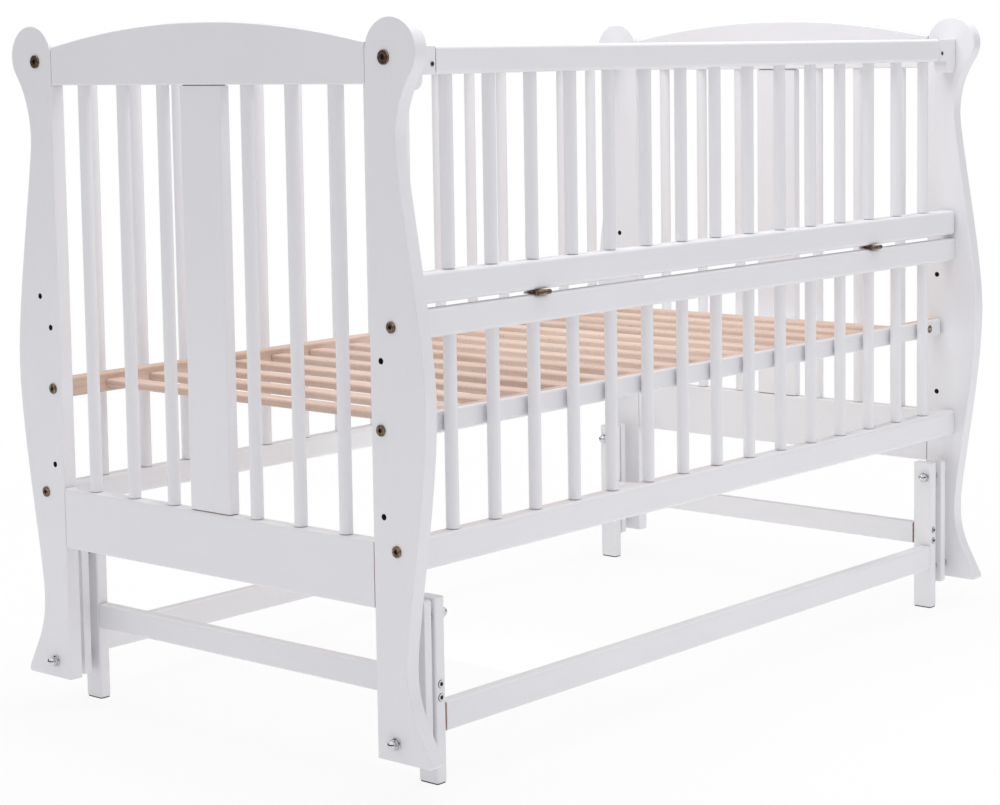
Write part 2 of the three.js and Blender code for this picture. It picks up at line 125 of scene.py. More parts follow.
def angle(name, description, degrees):
    """An angle in radians, given in degrees."""
    return FloatProperty(
        name=name, description=description, default=math.radians(degrees),
        subtype="ANGLE", unit="ROTATION",
    )


class CribPostSizes(PropertyGroup):
    """Outline of the S-shaped posts, measured from their straight inner edge"""

    edge: length("Edge", "Radius of a post's edges", 1.2)
    foot_rise: length("Foot rise", "Height of the foot above the floor", 39.7)
    foot_width: length("Foot width", "Width of the splayed foot", 86)
    foot_round: length("Foot round", "Size of the foot's rounded tip", 7)
    ankle_width: length("Ankle width", "Width at the ankle", 48.5)
    ankle_height: length("Ankle height", "Height of the ankle", 147)
    belly_width: length("Belly width", "Width at the belly", 84.3)
    belly_height: length("Belly height", "Height of the belly", 455)
    neck_width: length("Neck width", "Width at the neck", 45.2)
    neck_drop: length("Neck drop", "Height of the post's top over its neck", 144)
    head_radius: length("Head radius", "Radius of the round head", 39.3)
    foot_flare: share("Foot flare", "Where the foot's side starts to curve in", 0.76)
    instep: share("Instep", "Pull of the curve over the foot", 0.42)
    ankle: share("Ankle", "Pull of the curve above the ankle", 0.17)
    belly_low: share("Belly below", "Pull of the curve below the belly", 0.34)
    belly_high: share("Belly above", "Pull of the curve above the belly", 0.26)
    neck_low: share("Neck below", "Pull of the curve below the neck", 0.12)
    neck_high: share("Neck above", "Pull of the curve above the neck", 0.4)
    chin: share("Chin", "Pull of the curve under the head", 0.32)
    hole_radius: length("Hole radius", "Radius of the spare bolt holes", 3.8)
    hole_inset: length("Hole inset", "Inset of the mattress base's holes", 17)
    hole_low: length("Lower hole", "Height of the lower spare hole", 324.3)
    hole_high: length("Upper hole", "Height of the upper spare hole", 503.6)
    pivot_inset: length("Pivot inset", "Inset of the pivot in the foot", 29)
    pivot_height: length("Pivot height", "Height of the pivot in the foot", 61.4)
    pivot_radius: length("Pivot hole", "Radius of the pivot's hole", 4.3)


class CribPanelSizes(PropertyGroup):
    """Rails, spindles and slats of the four sides"""

    rail_round: length("Rail round", "Radius of the side rails' edges", 5)
    eased_round: length("Eased round", "Radius of the middle rail's upper back edge", 14)
    fold_lift: length("Fold lift", "How far the fold rail is planed clear of that rail", 0.8)
    bottom_height: length("Bottom rail", "Height of the bottom rails", 38)
    back_height: length("Back rail", "Height of the back's bottom rail", 31)
    back_lift: length("Back lift", "How much higher its underside lies", 4.3)
    fold_height: length("Fold rail", "Height of the folding front's bottom rail", 37)
    end_edge: length("End edge", "Radius of the top end rails' edges", 1.6)
    end_round: length("End round", "Radius of the bottom end rails' edges", 3)
    end_rise: length("Arch rise", "Rise of the arch over its shoulders", 27.5)
    end_height: length("End rail", "Height of the bottom end rails", 79)
    end_top: length("End rail top", "Height of their top edge over the floor", 294.5)
    end_pitch: length("End pitch", "Distance between the end panels' spindles", 75)
    spindle: length("Spindle", "Diameter of a spindle", 16)
    count: IntProperty(name="Spindles", description="Spindles in a side", default=15, min=1)
    end_count: IntProperty(
        name="End spindles", description="Spindles each side of a slat", default=3, min=1,
    )
    tenon_radius: length("Tenon radius", "Radius of a spindle's tenon", 5)
    tenon_depth: length("Tenon depth", "How far a tenon goes into its rail", 12)
    sink: length("Sink", "How far a spindle's top is let into its rail", 1)
    foot_gap: length("Foot gap", "Open joint under a spindle", 0.9)
    slat_width: length("Slat width", "Width of the wide slat in each end", 71)
    slat_thickness: length("Slat thickness", "Thickness of that slat", 16)
    slat_round: length("Slat round", "Radius of that slat's edges", 1.6)
    slat_gap: length("Slat gap", "Open joint over and under that slat", 1.2)
    slat_shoulder: length("Slat shoulder", "Shoulder round that slat's tenons", 4)
    joint: length("Joint", "Open joint between an end rail and a post", 0.8)
    end_break: length("End break", "Radius of a rail's sawn ends", 0.6)


class CribBaseSizes(PropertyGroup):
    """Mattress base"""

    rail_round: length("Rail round", "Radius of the base rails' edges", 4)
    slat_round: length("Slat round", "Radius of the slats' edges", 3.5)
    end_break: length("End break", "Radius of the slats' sawn ends", 0.8)
    slat_top: length("Slat top", "Height of the slats' tops over the floor", 428)
    slat_thickness: length("Slat thickness", "Thickness of a slat", 10)
    rail_end: length("Rail end", "Radius of the base rails' ends", 4)
    rail_gap: length("Rail gap", "Open joint between a base rail and a post", 2.4)


class CribStandSizes(PropertyGroup):
    """Legs, stretchers and swing arms"""

    leg_round: length("Leg round", "Radius of the legs' edges", 3)
    glide: length("Glide", "Height of the glide under a leg", 1.5)
    glide_inset: length("Glide inset", "Inset of the glide from the leg's sides", 0.8)
    stretcher_round: length("Stretcher round", "Radius of the stretchers' edges", 3)
    stretcher_joint: length("Stretcher joint", "Open joint at a stretcher's ends", 1.5)
    arm_round: length("Arm round", "Radius of an arm's corners", 2.5)
    arm_edge: length("Arm edge", "Radius of an arm's edges", 1.2)
    arm_length: length("Arm length", "Distance between an arm's pivots", 139.1)
    end_break: length("End break", "Radius of the sawn ends", 1.2)


class CribMetalSizes(PropertyGroup):
    """Bolts, nuts, screws, hinges and latches"""

    head_radius: length("Bolt head", "Radius of a bolt's head", 6.8)
    head_rise: length("Head rise", "How far a bolt's head stands out", 2.2)
    socket_radius: length("Socket", "Radius of a bolt's socket over its corners", 3)
    socket_depth: length("Socket depth", "Depth of a bolt's socket", 1.9)
    top_radius: length("Top bolt head", "Radius of the top bolts' heads", 8.5)
    top_z: length("Top bolt", "Height of the bolts of the top rails", 846.5)
    top_inset: length("Top bolt inset", "Their distance from the post's inner edge", 30.5)
    middle_inset: length("Middle bolt inset", "Their distance from the inner edge", 34)
    middle_z: length("Middle bolt", "Height of the front's middle bolts", 543.2)
    base_z: length("Base bolt", "Height of the mattress base's bolts", 424)
    base_inset: length("Base bolt inset", "Their distance from the post's inner edge", 15.5)
    bottom_z: length("Bottom bolt", "Height of the bottom rails' bolts", 286.3)
    bottom_inset: length("Bottom bolt inset", "Their distance from the inner edge", 36.5)
    nut_radius: length("Barrel nut", "Radius of a barrel nut", 6)
    nut_inset: length("Barrel nut inset", "Its distance from the base rail's end", 36.5)
    nut_slot: length("Barrel nut slot", "Half the width of its slot", 0.6)
    screw_radius: length("Screw head", "Radius of a stretcher screw's head", 4.8)
    screw_socket: length("Screw socket", "Radius of that screw's socket", 2.1)
    screw_rise: length("Screw rise", "How far a stretcher screw stands out", 0.9)
    screw_sink: share("Screw sink", "Depth of a screw's socket in its rise", 0.85)
    screw_low: length("Lower screw", "Height of the lower stretcher screw", 103.5)
    screw_high: length("Upper screw", "Height of the upper stretcher screw", 119.5)
    pin_radius: length("Block screw", "Radius of a latch block's screw", 2.9)
    pin_socket: length("Block screw socket", "Radius of that screw's socket", 1.4)
    pin_rise_out: length("Block screw rise", "How far a latch block's screw stands out", 0.8)
    pin_inset: length("Block screw inset", "Its distance from the block's inner end", 6.5)
    pin_rise: length("Block screw height", "Its height over the block's underside", 12)
    cap_height: length("Cap nut", "Length of a cap nut", 11)
    nut_flat: length("Cap nut width", "Radius of a cap nut over its corners", 7.2)
    dome_radius: length("Dome", "Radius of a cap nut's dome", 6)
    washer_radius: length("Washer", "Radius of a washer", 7.8)
    washer_height: length("Washer thickness", "Thickness of a washer", 1.6)
    shank_radius: length("Shank", "Radius of a pivot bolt's shank", 4)
    spacer_radius: length("Spacer", "Radius of a spacer and of a bolt's inner head", 7)
    pivot_head: length("Inner head", "Thickness of a pivot bolt's inner head", 4)
    lip: length("Lip", "Broken edge of a pivot bolt's parts", 0.4)
    knuckle_radius: length("Knuckle", "Radius of a hinge's knuckles", 3.2)
    leaf: length("Leaf", "Thickness of a hinge's leaf", 1.5)
    leaf_gap: length("Leaf gap", "Half the gap between a hinge's leaves", 0.45)
    hinge_pin: length("Hinge pin", "Radius of a hinge's pin", 1.3)
    hinge_length: length("Hinge", "Length of a hinge along the rails", 24)
    hinge_spread: length("Hinge place", "Distance of a hinge from the crib's middle", 373)
    knob_radius: length("Knob", "Radius of a latch bolt's knob", 7)
    stem: length("Knob stem", "Radius of that knob's stem", 2.5)
    travel: length("Travel", "How far a latch bolt slides", 12)
    bolt_radius: length("Latch bolt", "Radius of a latch bolt", 4)
    bore_depth: length("Bore", "Depth of the drill that bores a latch block", 26)
    block_width: length("Latch block", "Width of a latch block up to its cheek", 22)
    cheek_round: length("Cheek round", "Rounding of a latch block's foot", 12)
    block_edge: length("Block edge", "Radius of a latch block's edges", 1.8)


class CribColours(PropertyGroup):
    """Colours of the crib's finishes"""

    paint: colour("Paint", "Satin white paint", 233, 233, 236)
    paint_low: colour("Thin paint", "Paint where the grain shows through", 227, 227, 231)
    beech: colour("Beech", "Steamed beech", 213, 187, 171)
    beech_light: colour("Light beech", "Early wood", 226, 203, 188)
    beech_dark: colour("Dark beech", "Late wood", 191, 158, 137)
    fleck: colour("Fleck", "Dark flecks of the rays", 138, 100, 76)
    bronze: colour("Bronze", "Bronzed steel", 112, 96, 80)
    bronze_worn: colour("Worn bronze", "Bronzed steel where it is rubbed", 190, 162, 138)
    # Painted shade: near-black colour laid down in the bolt sockets and round the screw heads,
    # where there is only shadow
    painted_shade: colour("Oiled steel", "Blackened steel inside the sockets", 34, 29, 25)
    # Partly the unpainted wood, partly painted shade: darkened far below the beech for the
    # shadow down in the holes
    bore: colour("Bore", "Bare wood down in the bolt holes", 58, 47, 38)
    chrome: colour("Chrome", "Bright zinc plating", 214, 214, 218)
    glide: colour("Glide", "Brown plastic of the glides", 62, 50, 42)
    floor: colour("Floor", "Pale floor", 244, 244, 244)
    daylight: colour("Daylight", "Light all round", 254, 253, 255)
    cool: colour("Cool light", "The low lamp, against the beech's warm glow", 229, 255, 252)


class CribStageSettings(PropertyGroup):
    """Floor, lamps and camera"""

    floor_size: length("Floor", "Side of the floor", 30000)
    sky: strength("Sky", "Strength of the light all round", 0.765)
    lean: FloatVectorProperty(
        name="Lean", description="How much more light comes from behind and above",
        default=(0.19, 0.14, 0.1), subtype="XYZ",
    )
    bounce: strength("Bounce", "Light that the floor throws up at the crib", 0.16)
    wall_radius: length("Dark wall", "Radius of the dark wall that metal mirrors", 6000)
    wall_height: length("Wall height", "Height of that wall", 2600)
    top_power: strength("Top lamp", "Power of the lamp overhead", 19, unit="POWER")
    low_power: strength("Low lamp", "Power of the lamp below the base", 0.28, unit="POWER")
    lens: FloatProperty(
        name="Lens", description="Focal length of the camera", default=85.48,
        min=1, unit="CAMERA",
    )
    place: FloatVectorProperty(
        name="Camera", description="Place of the camera",
        default=(-2.54821, -2.14709, 0.85094), subtype="TRANSLATION", unit="LENGTH",
    )
    azimuth: angle("Azimuth", "Direction of the camera round the crib", -49.07)
    elevation: angle("Elevation", "Tilt of the camera from level", 5.56)
    roll: angle("Roll", "Roll of the camera", -0.87)
    shift: FloatProperty(
        name="Shift", description="Vertical shift of the lens", default=-0.12,
    )


GROUPS = {
    "crib_post": CribPostSizes,
    "crib_panel": CribPanelSizes,
    "crib_base": CribBaseSizes,
    "crib_stand": CribStandSizes,
    "crib_metal": CribMetalSizes,
    "crib_colours": CribColours,
    "crib_stage": CribStageSettings,
}


# Choosing and finishing
def choose(*pieces):
    """Selects these pieces alone; the last one is active."""
    bpy.ops.object.select_all(action="DESELECT")
    for piece in pieces:
        piece.select_set(True)
    bpy.context.view_layer.objects.active = pieces[-1]


def settle(piece):
    """Puts a piece's place, turn and size into its mesh."""
    choose(piece)
    bpy.ops.object.transform_apply(location=True, rotation=True, scale=True)


def shape_mode(piece, kind, wanted):
    """Opens a piece in edit mode with the edges or faces for which wanted holds."""
    choose(piece)
    bpy.ops.object.mode_set(mode="EDIT")
    bpy.ops.mesh.select_mode(type=kind)
    bpy.ops.mesh.select_all(action="DESELECT")
    mesh = bmesh.from_edit_mesh(piece.data)
    for part in mesh.edges if kind == "EDGE" else mesh.faces:
        if wanted(part):
            part.select_set(True)
    mesh.select_flush_mode()
    bmesh.update_edit_mesh(piece.data)


def object_mode():
    """Closes edit mode."""
    bpy.ops.object.mode_set(mode="OBJECT")


def mend(piece, apart=MM / 1000):
    """Merges a piece's doubled points and turns its faces outwards."""
    choose(piece)
    bpy.ops.object.mode_set(mode="EDIT")
    bpy.ops.mesh.select_all(action="SELECT")
    bpy.ops.mesh.remove_doubles(threshold=apart)
    bpy.ops.mesh.normals_make_consistent(inside=False)
    object_mode()


def polish(piece, angle=38):
    """Shades a piece smooth over its rounded edges and flat on its faces."""
    choose(piece)
    bpy.ops.object.shade_smooth_by_angle(angle=math.radians(angle))
    bpy.ops.object.modifier_add(type="WEIGHTED_NORMAL")
    modifier = piece.modifiers[-1]
    modifier.keep_sharp = True
    modifier.weight = 100
    bpy.ops.object.modifier_apply(modifier=modifier.name)


def fit(piece, body, slot, materials, *nodes, second=None):
    """Gives a finished piece its finish and its body, and hides what it stands for.

    Faces for which second holds take the second material.
    """
    piece.data.materials.clear()
    for material in materials:
        piece.data.materials.append(bpy.data.materials[material])
    for face in piece.data.polygons:
        face.material_index = 1 if second and second(face) else 0
    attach(piece, body)
    if nodes:
        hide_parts(*nodes)


def is_beyond(axis, reach):
    """Tells the faces that lie further out than reach along an axis, both ways."""
    return lambda face: abs(face.center[axis]) > reach


def copied(piece, name, place, turn=(0, 0, 0)):
    """A copy of a piece with its own mesh, moved to a place and turned."""
    choose(piece)
    bpy.ops.object.duplicate()
    twin = bpy.context.object
    twin.name = name
    twin.location = place
    twin.rotation_euler = turn
    settle(twin)
    return twin


# Wood
def along(edge, axis):
    """Whether an edge runs along an axis."""
    run = edge.verts[1].co - edge.verts[0].co
    return abs(run[axis]) > 0.99 * run.length


def lies_at(edge, axis, places):
    """Whether an edge lies square at one of the places along an axis."""
    return any(
        all(abs(corner.co[axis] - place) < NEAR for corner in edge.verts) for place in places
    )


def round_over(piece, wanted, radius, steps):
    """Rounds the edges for which wanted holds."""
    shape_mode(piece, "EDGE", wanted)
    bpy.ops.mesh.bevel(offset=radius, segments=steps, affect="EDGES")
    object_mode()


def block(name, low, high):
    """A square block between two corners."""
    low, high = Vector(low), Vector(high)
    bpy.ops.mesh.primitive_cube_add(size=1, location=(low + high) / 2)
    piece = bpy.context.object
    piece.name = name
    piece.scale = high - low
    settle(piece)
    return piece


def board(name, low, high, grain, edge, end_break=0.0, steps=4, eased=0.0):
    """A board between two corners, rounded along its grain and broken at its sawn ends.

    Its upper back edge can have a radius of its own, eased.
    """
    def is_eased(part):
        return eased and lies_at(part, Y, [high[Y]]) and lies_at(part, Z, [high[Z]])

    piece = block(name, low, high)
    round_over(piece, lambda part: along(part, grain) and not is_eased(part), edge, steps)
    if eased:
        round_over(piece, lambda part: along(part, grain) and is_eased(part), eased, 2 * steps)
    if end_break:
        tips = (low[grain], high[grain])
        round_over(piece, lambda part: lies_at(part, grain, tips), end_break, 2)
    mend(piece)
    return piece


def sawn(name, corners, middle, thickness, edge, turn, steps=12):
    """A board sawn to an outline of (point, handle before, handle after)."""
    bpy.ops.curve.primitive_bezier_circle_add(location=middle, rotation=turn)
    piece = bpy.context.object
    piece.name = name
    curve = piece.data
    curve.dimensions = "2D"
    curve.fill_mode = "BOTH"
    curve.resolution_u = steps
    curve.extrude = thickness / 2 - edge
    curve.bevel_depth = edge
    curve.bevel_resolution = 2
    curve.offset = -edge
    points = curve.splines[0].bezier_points
    points.add(len(corners) - len(points))
    for point, (place, before, after) in zip(points, corners):
        point.handle_left_type = "FREE" if before else "VECTOR"
        point.handle_right_type = "FREE" if after else "VECTOR"
        point.co = (*place, 0)
    for point, (_, before, after) in zip(points, corners):
        if before:
            point.handle_left = (*before, 0)
        if after:
            point.handle_right = (*after, 0)
    choose(piece)
    bpy.ops.object.convert(target="MESH")
    settle(piece)
    mend(piece, apart=MM / 50)
    return piece


def cut(piece, tools, operation="DIFFERENCE"):
    """Cuts the tools out of a piece, or grows it by them, and takes them away."""
    choose(*tools)
    if len(tools) > 1:
        bpy.ops.object.join()
    tool = bpy.context.object
    choose(piece)
    bpy.ops.object.modifier_add(type="BOOLEAN")
    modifier = piece.modifiers[-1]
    modifier.operation = operation
    modifier.solver = "EXACT"
    modifier.object = tool
    bpy.ops.object.modifier_apply(modifier=modifier.name)
    bpy.data.objects.remove(tool, do_unlink=True)


def drill(middle, radius, depth=THROUGH, turn=LIE_ALONG_X, sides=32):
    """A plain round tool for a bore."""
    bpy.ops.mesh.primitive_cylinder_add(
        vertices=sides, radius=radius, depth=depth, location=middle, rotation=turn,
    )
    tool = bpy.context.object
    settle(tool)
    return tool


# Round pieces
def turned(name, profile, middle=(0, 0, 0), turn=(0, 0, 0), sides=40):
    """A round piece, drawn out of a disc step by step to (radius, height)."""
    radius, height = profile[0]
    bpy.ops.mesh.primitive_circle_add(
        vertices=sides, radius=radius, fill_type="NGON", location=(0, 0, height),
    )
    piece = bpy.context.object
    piece.name = name
    settle(piece)
    choose(piece)
    bpy.ops.object.mode_set(mode="EDIT")
    bpy.ops.mesh.select_mode(type="FACE")
    bpy.ops.mesh.select_all(action="SELECT")
    for new_radius, new_height in profile[1:]:
        bpy.ops.mesh.extrude_region_move(
            TRANSFORM_OT_translate={"value": (0, 0, new_height - height)},
        )
        size = new_radius / radius
        bpy.ops.transform.resize(value=(size, size, 1), center_override=(0, 0, new_height))
        radius, height = new_radius, new_height
    object_mode()
    mend(piece)
    piece.location = middle
    piece.rotation_euler = turn
    settle(piece)
    return piece


def bar(radius, start, stop, lip):
    """Profile of a round bar between two heights, its edges broken by lip."""
    return [
        (radius - lip, start), (radius, start + lip),
        (radius, stop - lip), (radius - lip, stop),
    ]


def dome(radius, start, rise, steps=8):
    """Profile of a dome that closes a round piece."""
    arc = [math.radians(90) * i / steps for i in range(steps)]
    rim = [(radius * math.cos(a), start + rise * math.sin(a)) for a in arc]
    return rim + [(radius / 40, start + rise)]


# Finishes
def fresh_tree(owner):
    """The node tree of a material or a world, emptied."""
    owner.use_nodes = True
    owner.node_tree.nodes.clear()
    return owner.node_tree


def add_node(tree, kind, inputs=None, **settings):
    """A shader node with its settings, and its inputs set or linked."""
    made = tree.nodes.new(kind)
    for key, value in settings.items():
        setattr(made, key, value)
    for key, value in (inputs or {}).items():
        if isinstance(value, bpy.types.NodeSocket):
            tree.links.new(value, made.inputs[key])
        else:
            made.inputs[key].default_value = value
    return made


def figure(tree, operation, *values):
    """The outcome of one sum on numbers or sockets."""
    inputs = dict(enumerate(values))
    return add_node(tree, "ShaderNodeMath", inputs, operation=operation).outputs[0]


def new_finish(name, **shine):
    """A fresh material: its tree, its shader and the crib's own coordinates."""
    tree = fresh_tree(bpy.data.materials.new(name))
    inputs = {key.replace("_", " ").title(): value for key, value in shine.items()}
    shader = add_node(tree, "ShaderNodeBsdfPrincipled", inputs)
    add_node(tree, "ShaderNodeOutputMaterial", {"Surface": shader.outputs["BSDF"]})
    return tree, shader, add_node(tree, "ShaderNodeTexCoord").outputs["Object"]


def stretched(tree, place, grain, across, lengthwise):
    """Coordinates drawn out along the grain."""
    scale = [across] * 3
    scale[grain] = lengthwise
    mapping = add_node(tree, "ShaderNodeMapping", {"Vector": place, "Scale": scale})
    return mapping.outputs["Vector"]


def noise(tree, place, scale=1.0, detail=2.0, roughness=0.55):
    """A grey noise."""
    return add_node(tree, "ShaderNodeTexNoise", {
        "Vector": place, "Scale": scale, "Detail": detail, "Roughness": roughness,
    }).outputs["Fac"]


def spread(tree, value, start, stop, to_start, to_stop):
    """A value taken from one range to another and held inside it."""
    return add_node(tree, "ShaderNodeMapRange", {
        "Value": value, "From Min": start, "From Max": stop,
        "To Min": to_start, "To Max": to_stop,
    }).outputs["Result"]


def blended(tree, factor, first, second):
    """Two colours mixed; sockets 0, 6 and 7 are the mix's factor and colours."""
    inputs = {0: factor, 6: first, 7: second}
    return add_node(tree, "ShaderNodeMix", inputs, data_type="RGBA").outputs[2]


def dress(tree, shader, shade, roughness, tone=None):
    """Gives a shader its colour, lighter and darker by tone, and its roughness."""
    if tone is not None:
        tint = add_node(tree, "ShaderNodeHueSaturation", {"Color": shade, "Value": tone})
        shade = tint.outputs["Color"]
    tree.links.new(shade, shader.inputs["Base Color"])
    tree.links.new(roughness, shader.inputs["Roughness"])


def relief(tree, shader, *layers):
    """Relief on a finish, from layers of (height, depth in metres, strength)."""
    inputs = {}
    for height, depth, strength in layers:
        inputs |= {"Height": height, "Distance": depth, "Strength": strength}
        inputs["Normal"] = add_node(tree, "ShaderNodeBump", inputs).outputs["Normal"]
    tree.links.new(inputs["Normal"], shader.inputs["Normal"])


def paint_finish(name, grain, colours):
    """Satin paint over wood whose grain runs along one axis."""
    tree, shader, place = new_finish(name, coat_weight=0.3, coat_roughness=0.2)
    streaks = noise(tree, stretched(tree, place, grain, across=420, lengthwise=14), detail=4)
    thin = spread(tree, streaks, 0.35, 0.75, 0, 0.25)
    cloud = noise(tree, place, scale=5)
    dress(
        tree, shader, blended(tree, thin, colours.paint, colours.paint_low),
        roughness=spread(tree, streaks, 0.3, 0.7, 0.38, 0.46),
        tone=spread(tree, cloud, 0.35, 0.65, 0.985, 1.0),
    )
    peel = noise(tree, place, scale=1100)
    relief(tree, shader, (streaks, 0.05 * MM, 0.4), (peel, 0.03 * MM, 0.3))


def beech_finish(name, grain, colours):
    """Oiled beech whose grain runs along one axis."""
    tree, shader, place = new_finish(name, coat_weight=0.06, coat_roughness=0.4)
    # Each board has its own tone, told by which step across the crib it stands in
    parts = add_node(tree, "ShaderNodeSeparateXYZ", {"Vector": place}).outputs
    across = figure(tree, "DIVIDE", parts["X" if grain == Y else "Y"], SLAT_STEP)
    own = add_node(
        tree, "ShaderNodeTexWhiteNoise", {"W": figure(tree, "ROUND", across)},
        noise_dimensions="1D",
    ).outputs["Value"]
    warp = noise(tree, stretched(tree, place, grain, across=22, lengthwise=4))
    rings = noise(
        tree, stretched(tree, place, grain, across=190, lengthwise=5), detail=4, roughness=0.5,
    )
    late = spread(tree, figure(tree, "ADD", rings, warp), 0.75, 1.25, 0, 1)
    wood = blended(tree, late, colours.beech_light, colours.beech_dark)
    even = blended(tree, 0.45, wood, colours.beech)
    rays = noise(tree, stretched(tree, place, grain, across=1500, lengthwise=190), detail=1)
    dash = spread(tree, rays, 0.62, 0.7, 0, 0.42)
    dress(
        tree, shader, blended(tree, dash, even, colours.fleck),
        roughness=spread(tree, rings, 0.3, 0.7, 0.48, 0.62),
        tone=spread(tree, own, 0, 1, 0.93, 1.05),
    )
    relief(tree, shader, (rings, 0.15 * MM, 0.5), (dash, 0.08 * MM, 0.6))


def bronze_finish(name, colours):
    """Bronzed steel, rubbed bright in places."""
    tree, shader, place = new_finish(name, metallic=1.0)
    blotch = noise(tree, place, scale=260, detail=4)
    rub = spread(tree, blotch, 0.45, 0.68, 0, 0.8)
    dress(
        tree, shader, blended(tree, rub, colours.bronze, colours.bronze_worn),
        roughness=spread(tree, blotch, 0.3, 0.7, 0.42, 0.26),
    )
    relief(tree, shader, (noise(tree, place, scale=2600), 0.03 * MM, 0.5))


def chrome_finish(name, colours):
    """Bright zinc plating with fine turning marks."""
    tree, shader, place = new_finish(name, metallic=1.0)
    cloud = noise(tree, place, scale=400)
    dress(
        tree, shader, colours.chrome,
        roughness=spread(tree, cloud, 0.3, 0.7, 0.1, 0.2),
        tone=spread(tree, cloud, 0.3, 0.7, 0.94, 1.0),
    )
    marks = noise(tree, stretched(tree, place, X, across=300, lengthwise=5200))
    relief(tree, shader, (marks, 0.01 * MM, 0.4))


def painted_shade_finish(name, shade):
    """Painted shade for what lies down in a socket or a bore, dull and dark, mottled at random.
    """
    tree, shader, place = new_finish(name)
    shade_mottle = noise(tree, place, scale=900, detail=3)
    dress(
        tree, shader, shade,
        roughness=spread(tree, shade_mottle, 0.3, 0.7, 0.5, 0.65),
        tone=spread(tree, shade_mottle, 0.3, 0.7, 0.8, 1.3),
    )


def glide_finish(name, colours):
    """Moulded plastic, dull where it slides."""
    tree, shader, place = new_finish(name)
    dust = noise(tree, place, scale=120, detail=3)
    dress(
        tree, shader, colours.glide,
        roughness=spread(tree, dust, 0.3, 0.7, 0.5, 0.7),
        tone=spread(tree, dust, 0.3, 0.7, 0.85, 1.2),
    )
    relief(tree, shader, (noise(tree, place, scale=1800), 0.04 * MM, 0.5))


# Places that several operators share, read from the packed model
POST_LOW, POST_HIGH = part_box("post_front_left")
POST_INNER = -POST_HIGH.y
CLEAR_HALF = -POST_HIGH.x
POST_OUTER = -POST_LOW.x
RAIL_LOW, RAIL_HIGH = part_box("front_middle_rail")
RAIL_MIDDLE = -(RAIL_LOW.y + RAIL_HIGH.y) / 2
SLAT_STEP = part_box("base_slat_2")[0].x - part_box("base_slat_1")[0].x


def middle_of(node):
    """The middle of a node's box."""
    low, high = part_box(node)
    return (low + high) / 2


def thickness_of(node):
    """How thick a node is along the crib's length."""
    low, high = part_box(node)
    return high.x - low.x


def from_edge(side, inset):
    """A place across the crib, inset from the inner edge of a side's posts."""
    return SIDES[side] * (POST_INNER + inset)


class CRIB_OT_finishes(Operator):
    """Mix the paint, the beech, the metals and the plastic"""

    bl_idname = "crib.finishes"
    bl_label = "Finishes"

    def execute(self, context):
        colours = context.scene.crib_colours
        for letter, axis in zip("xyz", (X, Y, Z)):
            paint_finish(f"white_paint_along_{letter}", axis, colours)
            beech_finish(f"beech_along_{letter}", axis, colours)
        bronze_finish("bronzed_steel", colours)
        chrome_finish("bright_zinc", colours)
        # Two painted-shade materials: one for the sockets and the rings round the screw heads,
        # one for the bolt holes
        painted_shade_finish("painted_shade_steel", colours.painted_shade)
        painted_shade_finish("bare_bore_shade", colours.bore)
        glide_finish("glide_plastic", colours)
        return {"FINISHED"}


class CRIB_OT_posts(Operator):
    """Saw the four S-shaped posts, round their edges and drill them"""

    bl_idname = "crib.posts"
    bl_label = "Posts"

    def outline(self, size, side):
        """Corners of the S, from the foot's heel round to the head and down."""
        def at(width, height):
            return from_edge(side, width), height

        radius = size.head_radius
        head = POST_HIGH.z - radius
        neck = POST_HIGH.z - size.neck_drop
        chin = math.radians(-36)
        throat = head + radius * math.sin(chin) - neck
        heel, tip = size.foot_rise, size.foot_width
        rise = size.ankle_height - heel
        calf = size.belly_height - size.ankle_height
        chest = neck - size.belly_height
        tuck = size.foot_round / 3
        corners = [
            (at(0, heel), None, None),
            (at(tip - size.foot_round, heel), None, at(tip - tuck, heel)),
            (
                at(tip - tuck, heel + size.foot_round), at(tip, heel + tuck),
                at(tip * size.foot_flare, heel + rise * size.instep),
            ),
        ]
        ankle, belly = size.ankle_height, size.belly_height
        for width, z, below, above in (
            (size.ankle_width, ankle, rise * size.instep, calf * size.ankle),
            (size.belly_width, belly, calf * size.belly_low, chest * size.belly_high),
            (size.neck_width, neck, chest * size.neck_low, throat * size.neck_high),
        ):
            corners.append((at(width, z), at(width, z - below), at(width, z + above)))
        # The head is three equal arcs, from the chin over the top to the inner edge.
        # The neck's curve runs into the first one at the chin.
        arcs = 3
        step = (math.pi - chin) / arcs
        reach = 4 / 3 * math.tan(step / 4) * radius
        for i in range(arcs + 1):
            angle = chin + i * step
            run = Vector((-math.sin(angle), math.cos(angle)))
            place = Vector((radius, head)) + Vector((math.cos(angle), math.sin(angle))) * radius
            before = place - run * (reach if i else throat * size.chin)
            after = at(*(place + run * reach)) if i < arcs else None
            corners.append((at(*place), at(*before), after))
        return corners

    def execute(self, context):
        size = context.scene.crib_post
        for side, end in CORNERS:
            node = f"post_{side}_{end}"
            middle, thickness = middle_of(node).x, thickness_of(node)
            post = sawn(
                f"{node}_shaped", self.outline(size, side), (middle, 0, 0), thickness,
                size.edge, PUSH_ALONG_X,
            )
            hole_y = from_edge(side, size.hole_inset)
            holes = [(hole_y, size.hole_low), (hole_y, size.hole_high)]
            if side == "back":
                holes.append((RAIL_MIDDLE, (RAIL_LOW.z + RAIL_HIGH.z) / 2))
            tools = [drill((middle, *hole), size.hole_radius) for hole in holes]
            pivot = (middle, from_edge(side, size.pivot_inset), size.pivot_height)
            tools.append(drill(pivot, size.pivot_radius))
            cut(post, tools)
            polish(post)
            # The holes' walls take the bare wood's painted shade
            fit(
                post, "cradle", "white_paint", ["white_paint_along_z", "bare_bore_shade"], node,
                second=self.is_bored(holes, size.hole_radius),
            )
        return {"FINISHED"}

    def is_bored(self, holes, radius):
        """Tells the walls of the bolt holes, which have no paint and take bare wood darkened
        into painted shade.
        """
        reach = radius + MM / 10
        return lambda face: abs(face.normal.x) < 0.5 and any(
            math.hypot(face.center.y - y, face.center.z - z) < reach for y, z in holes
        )


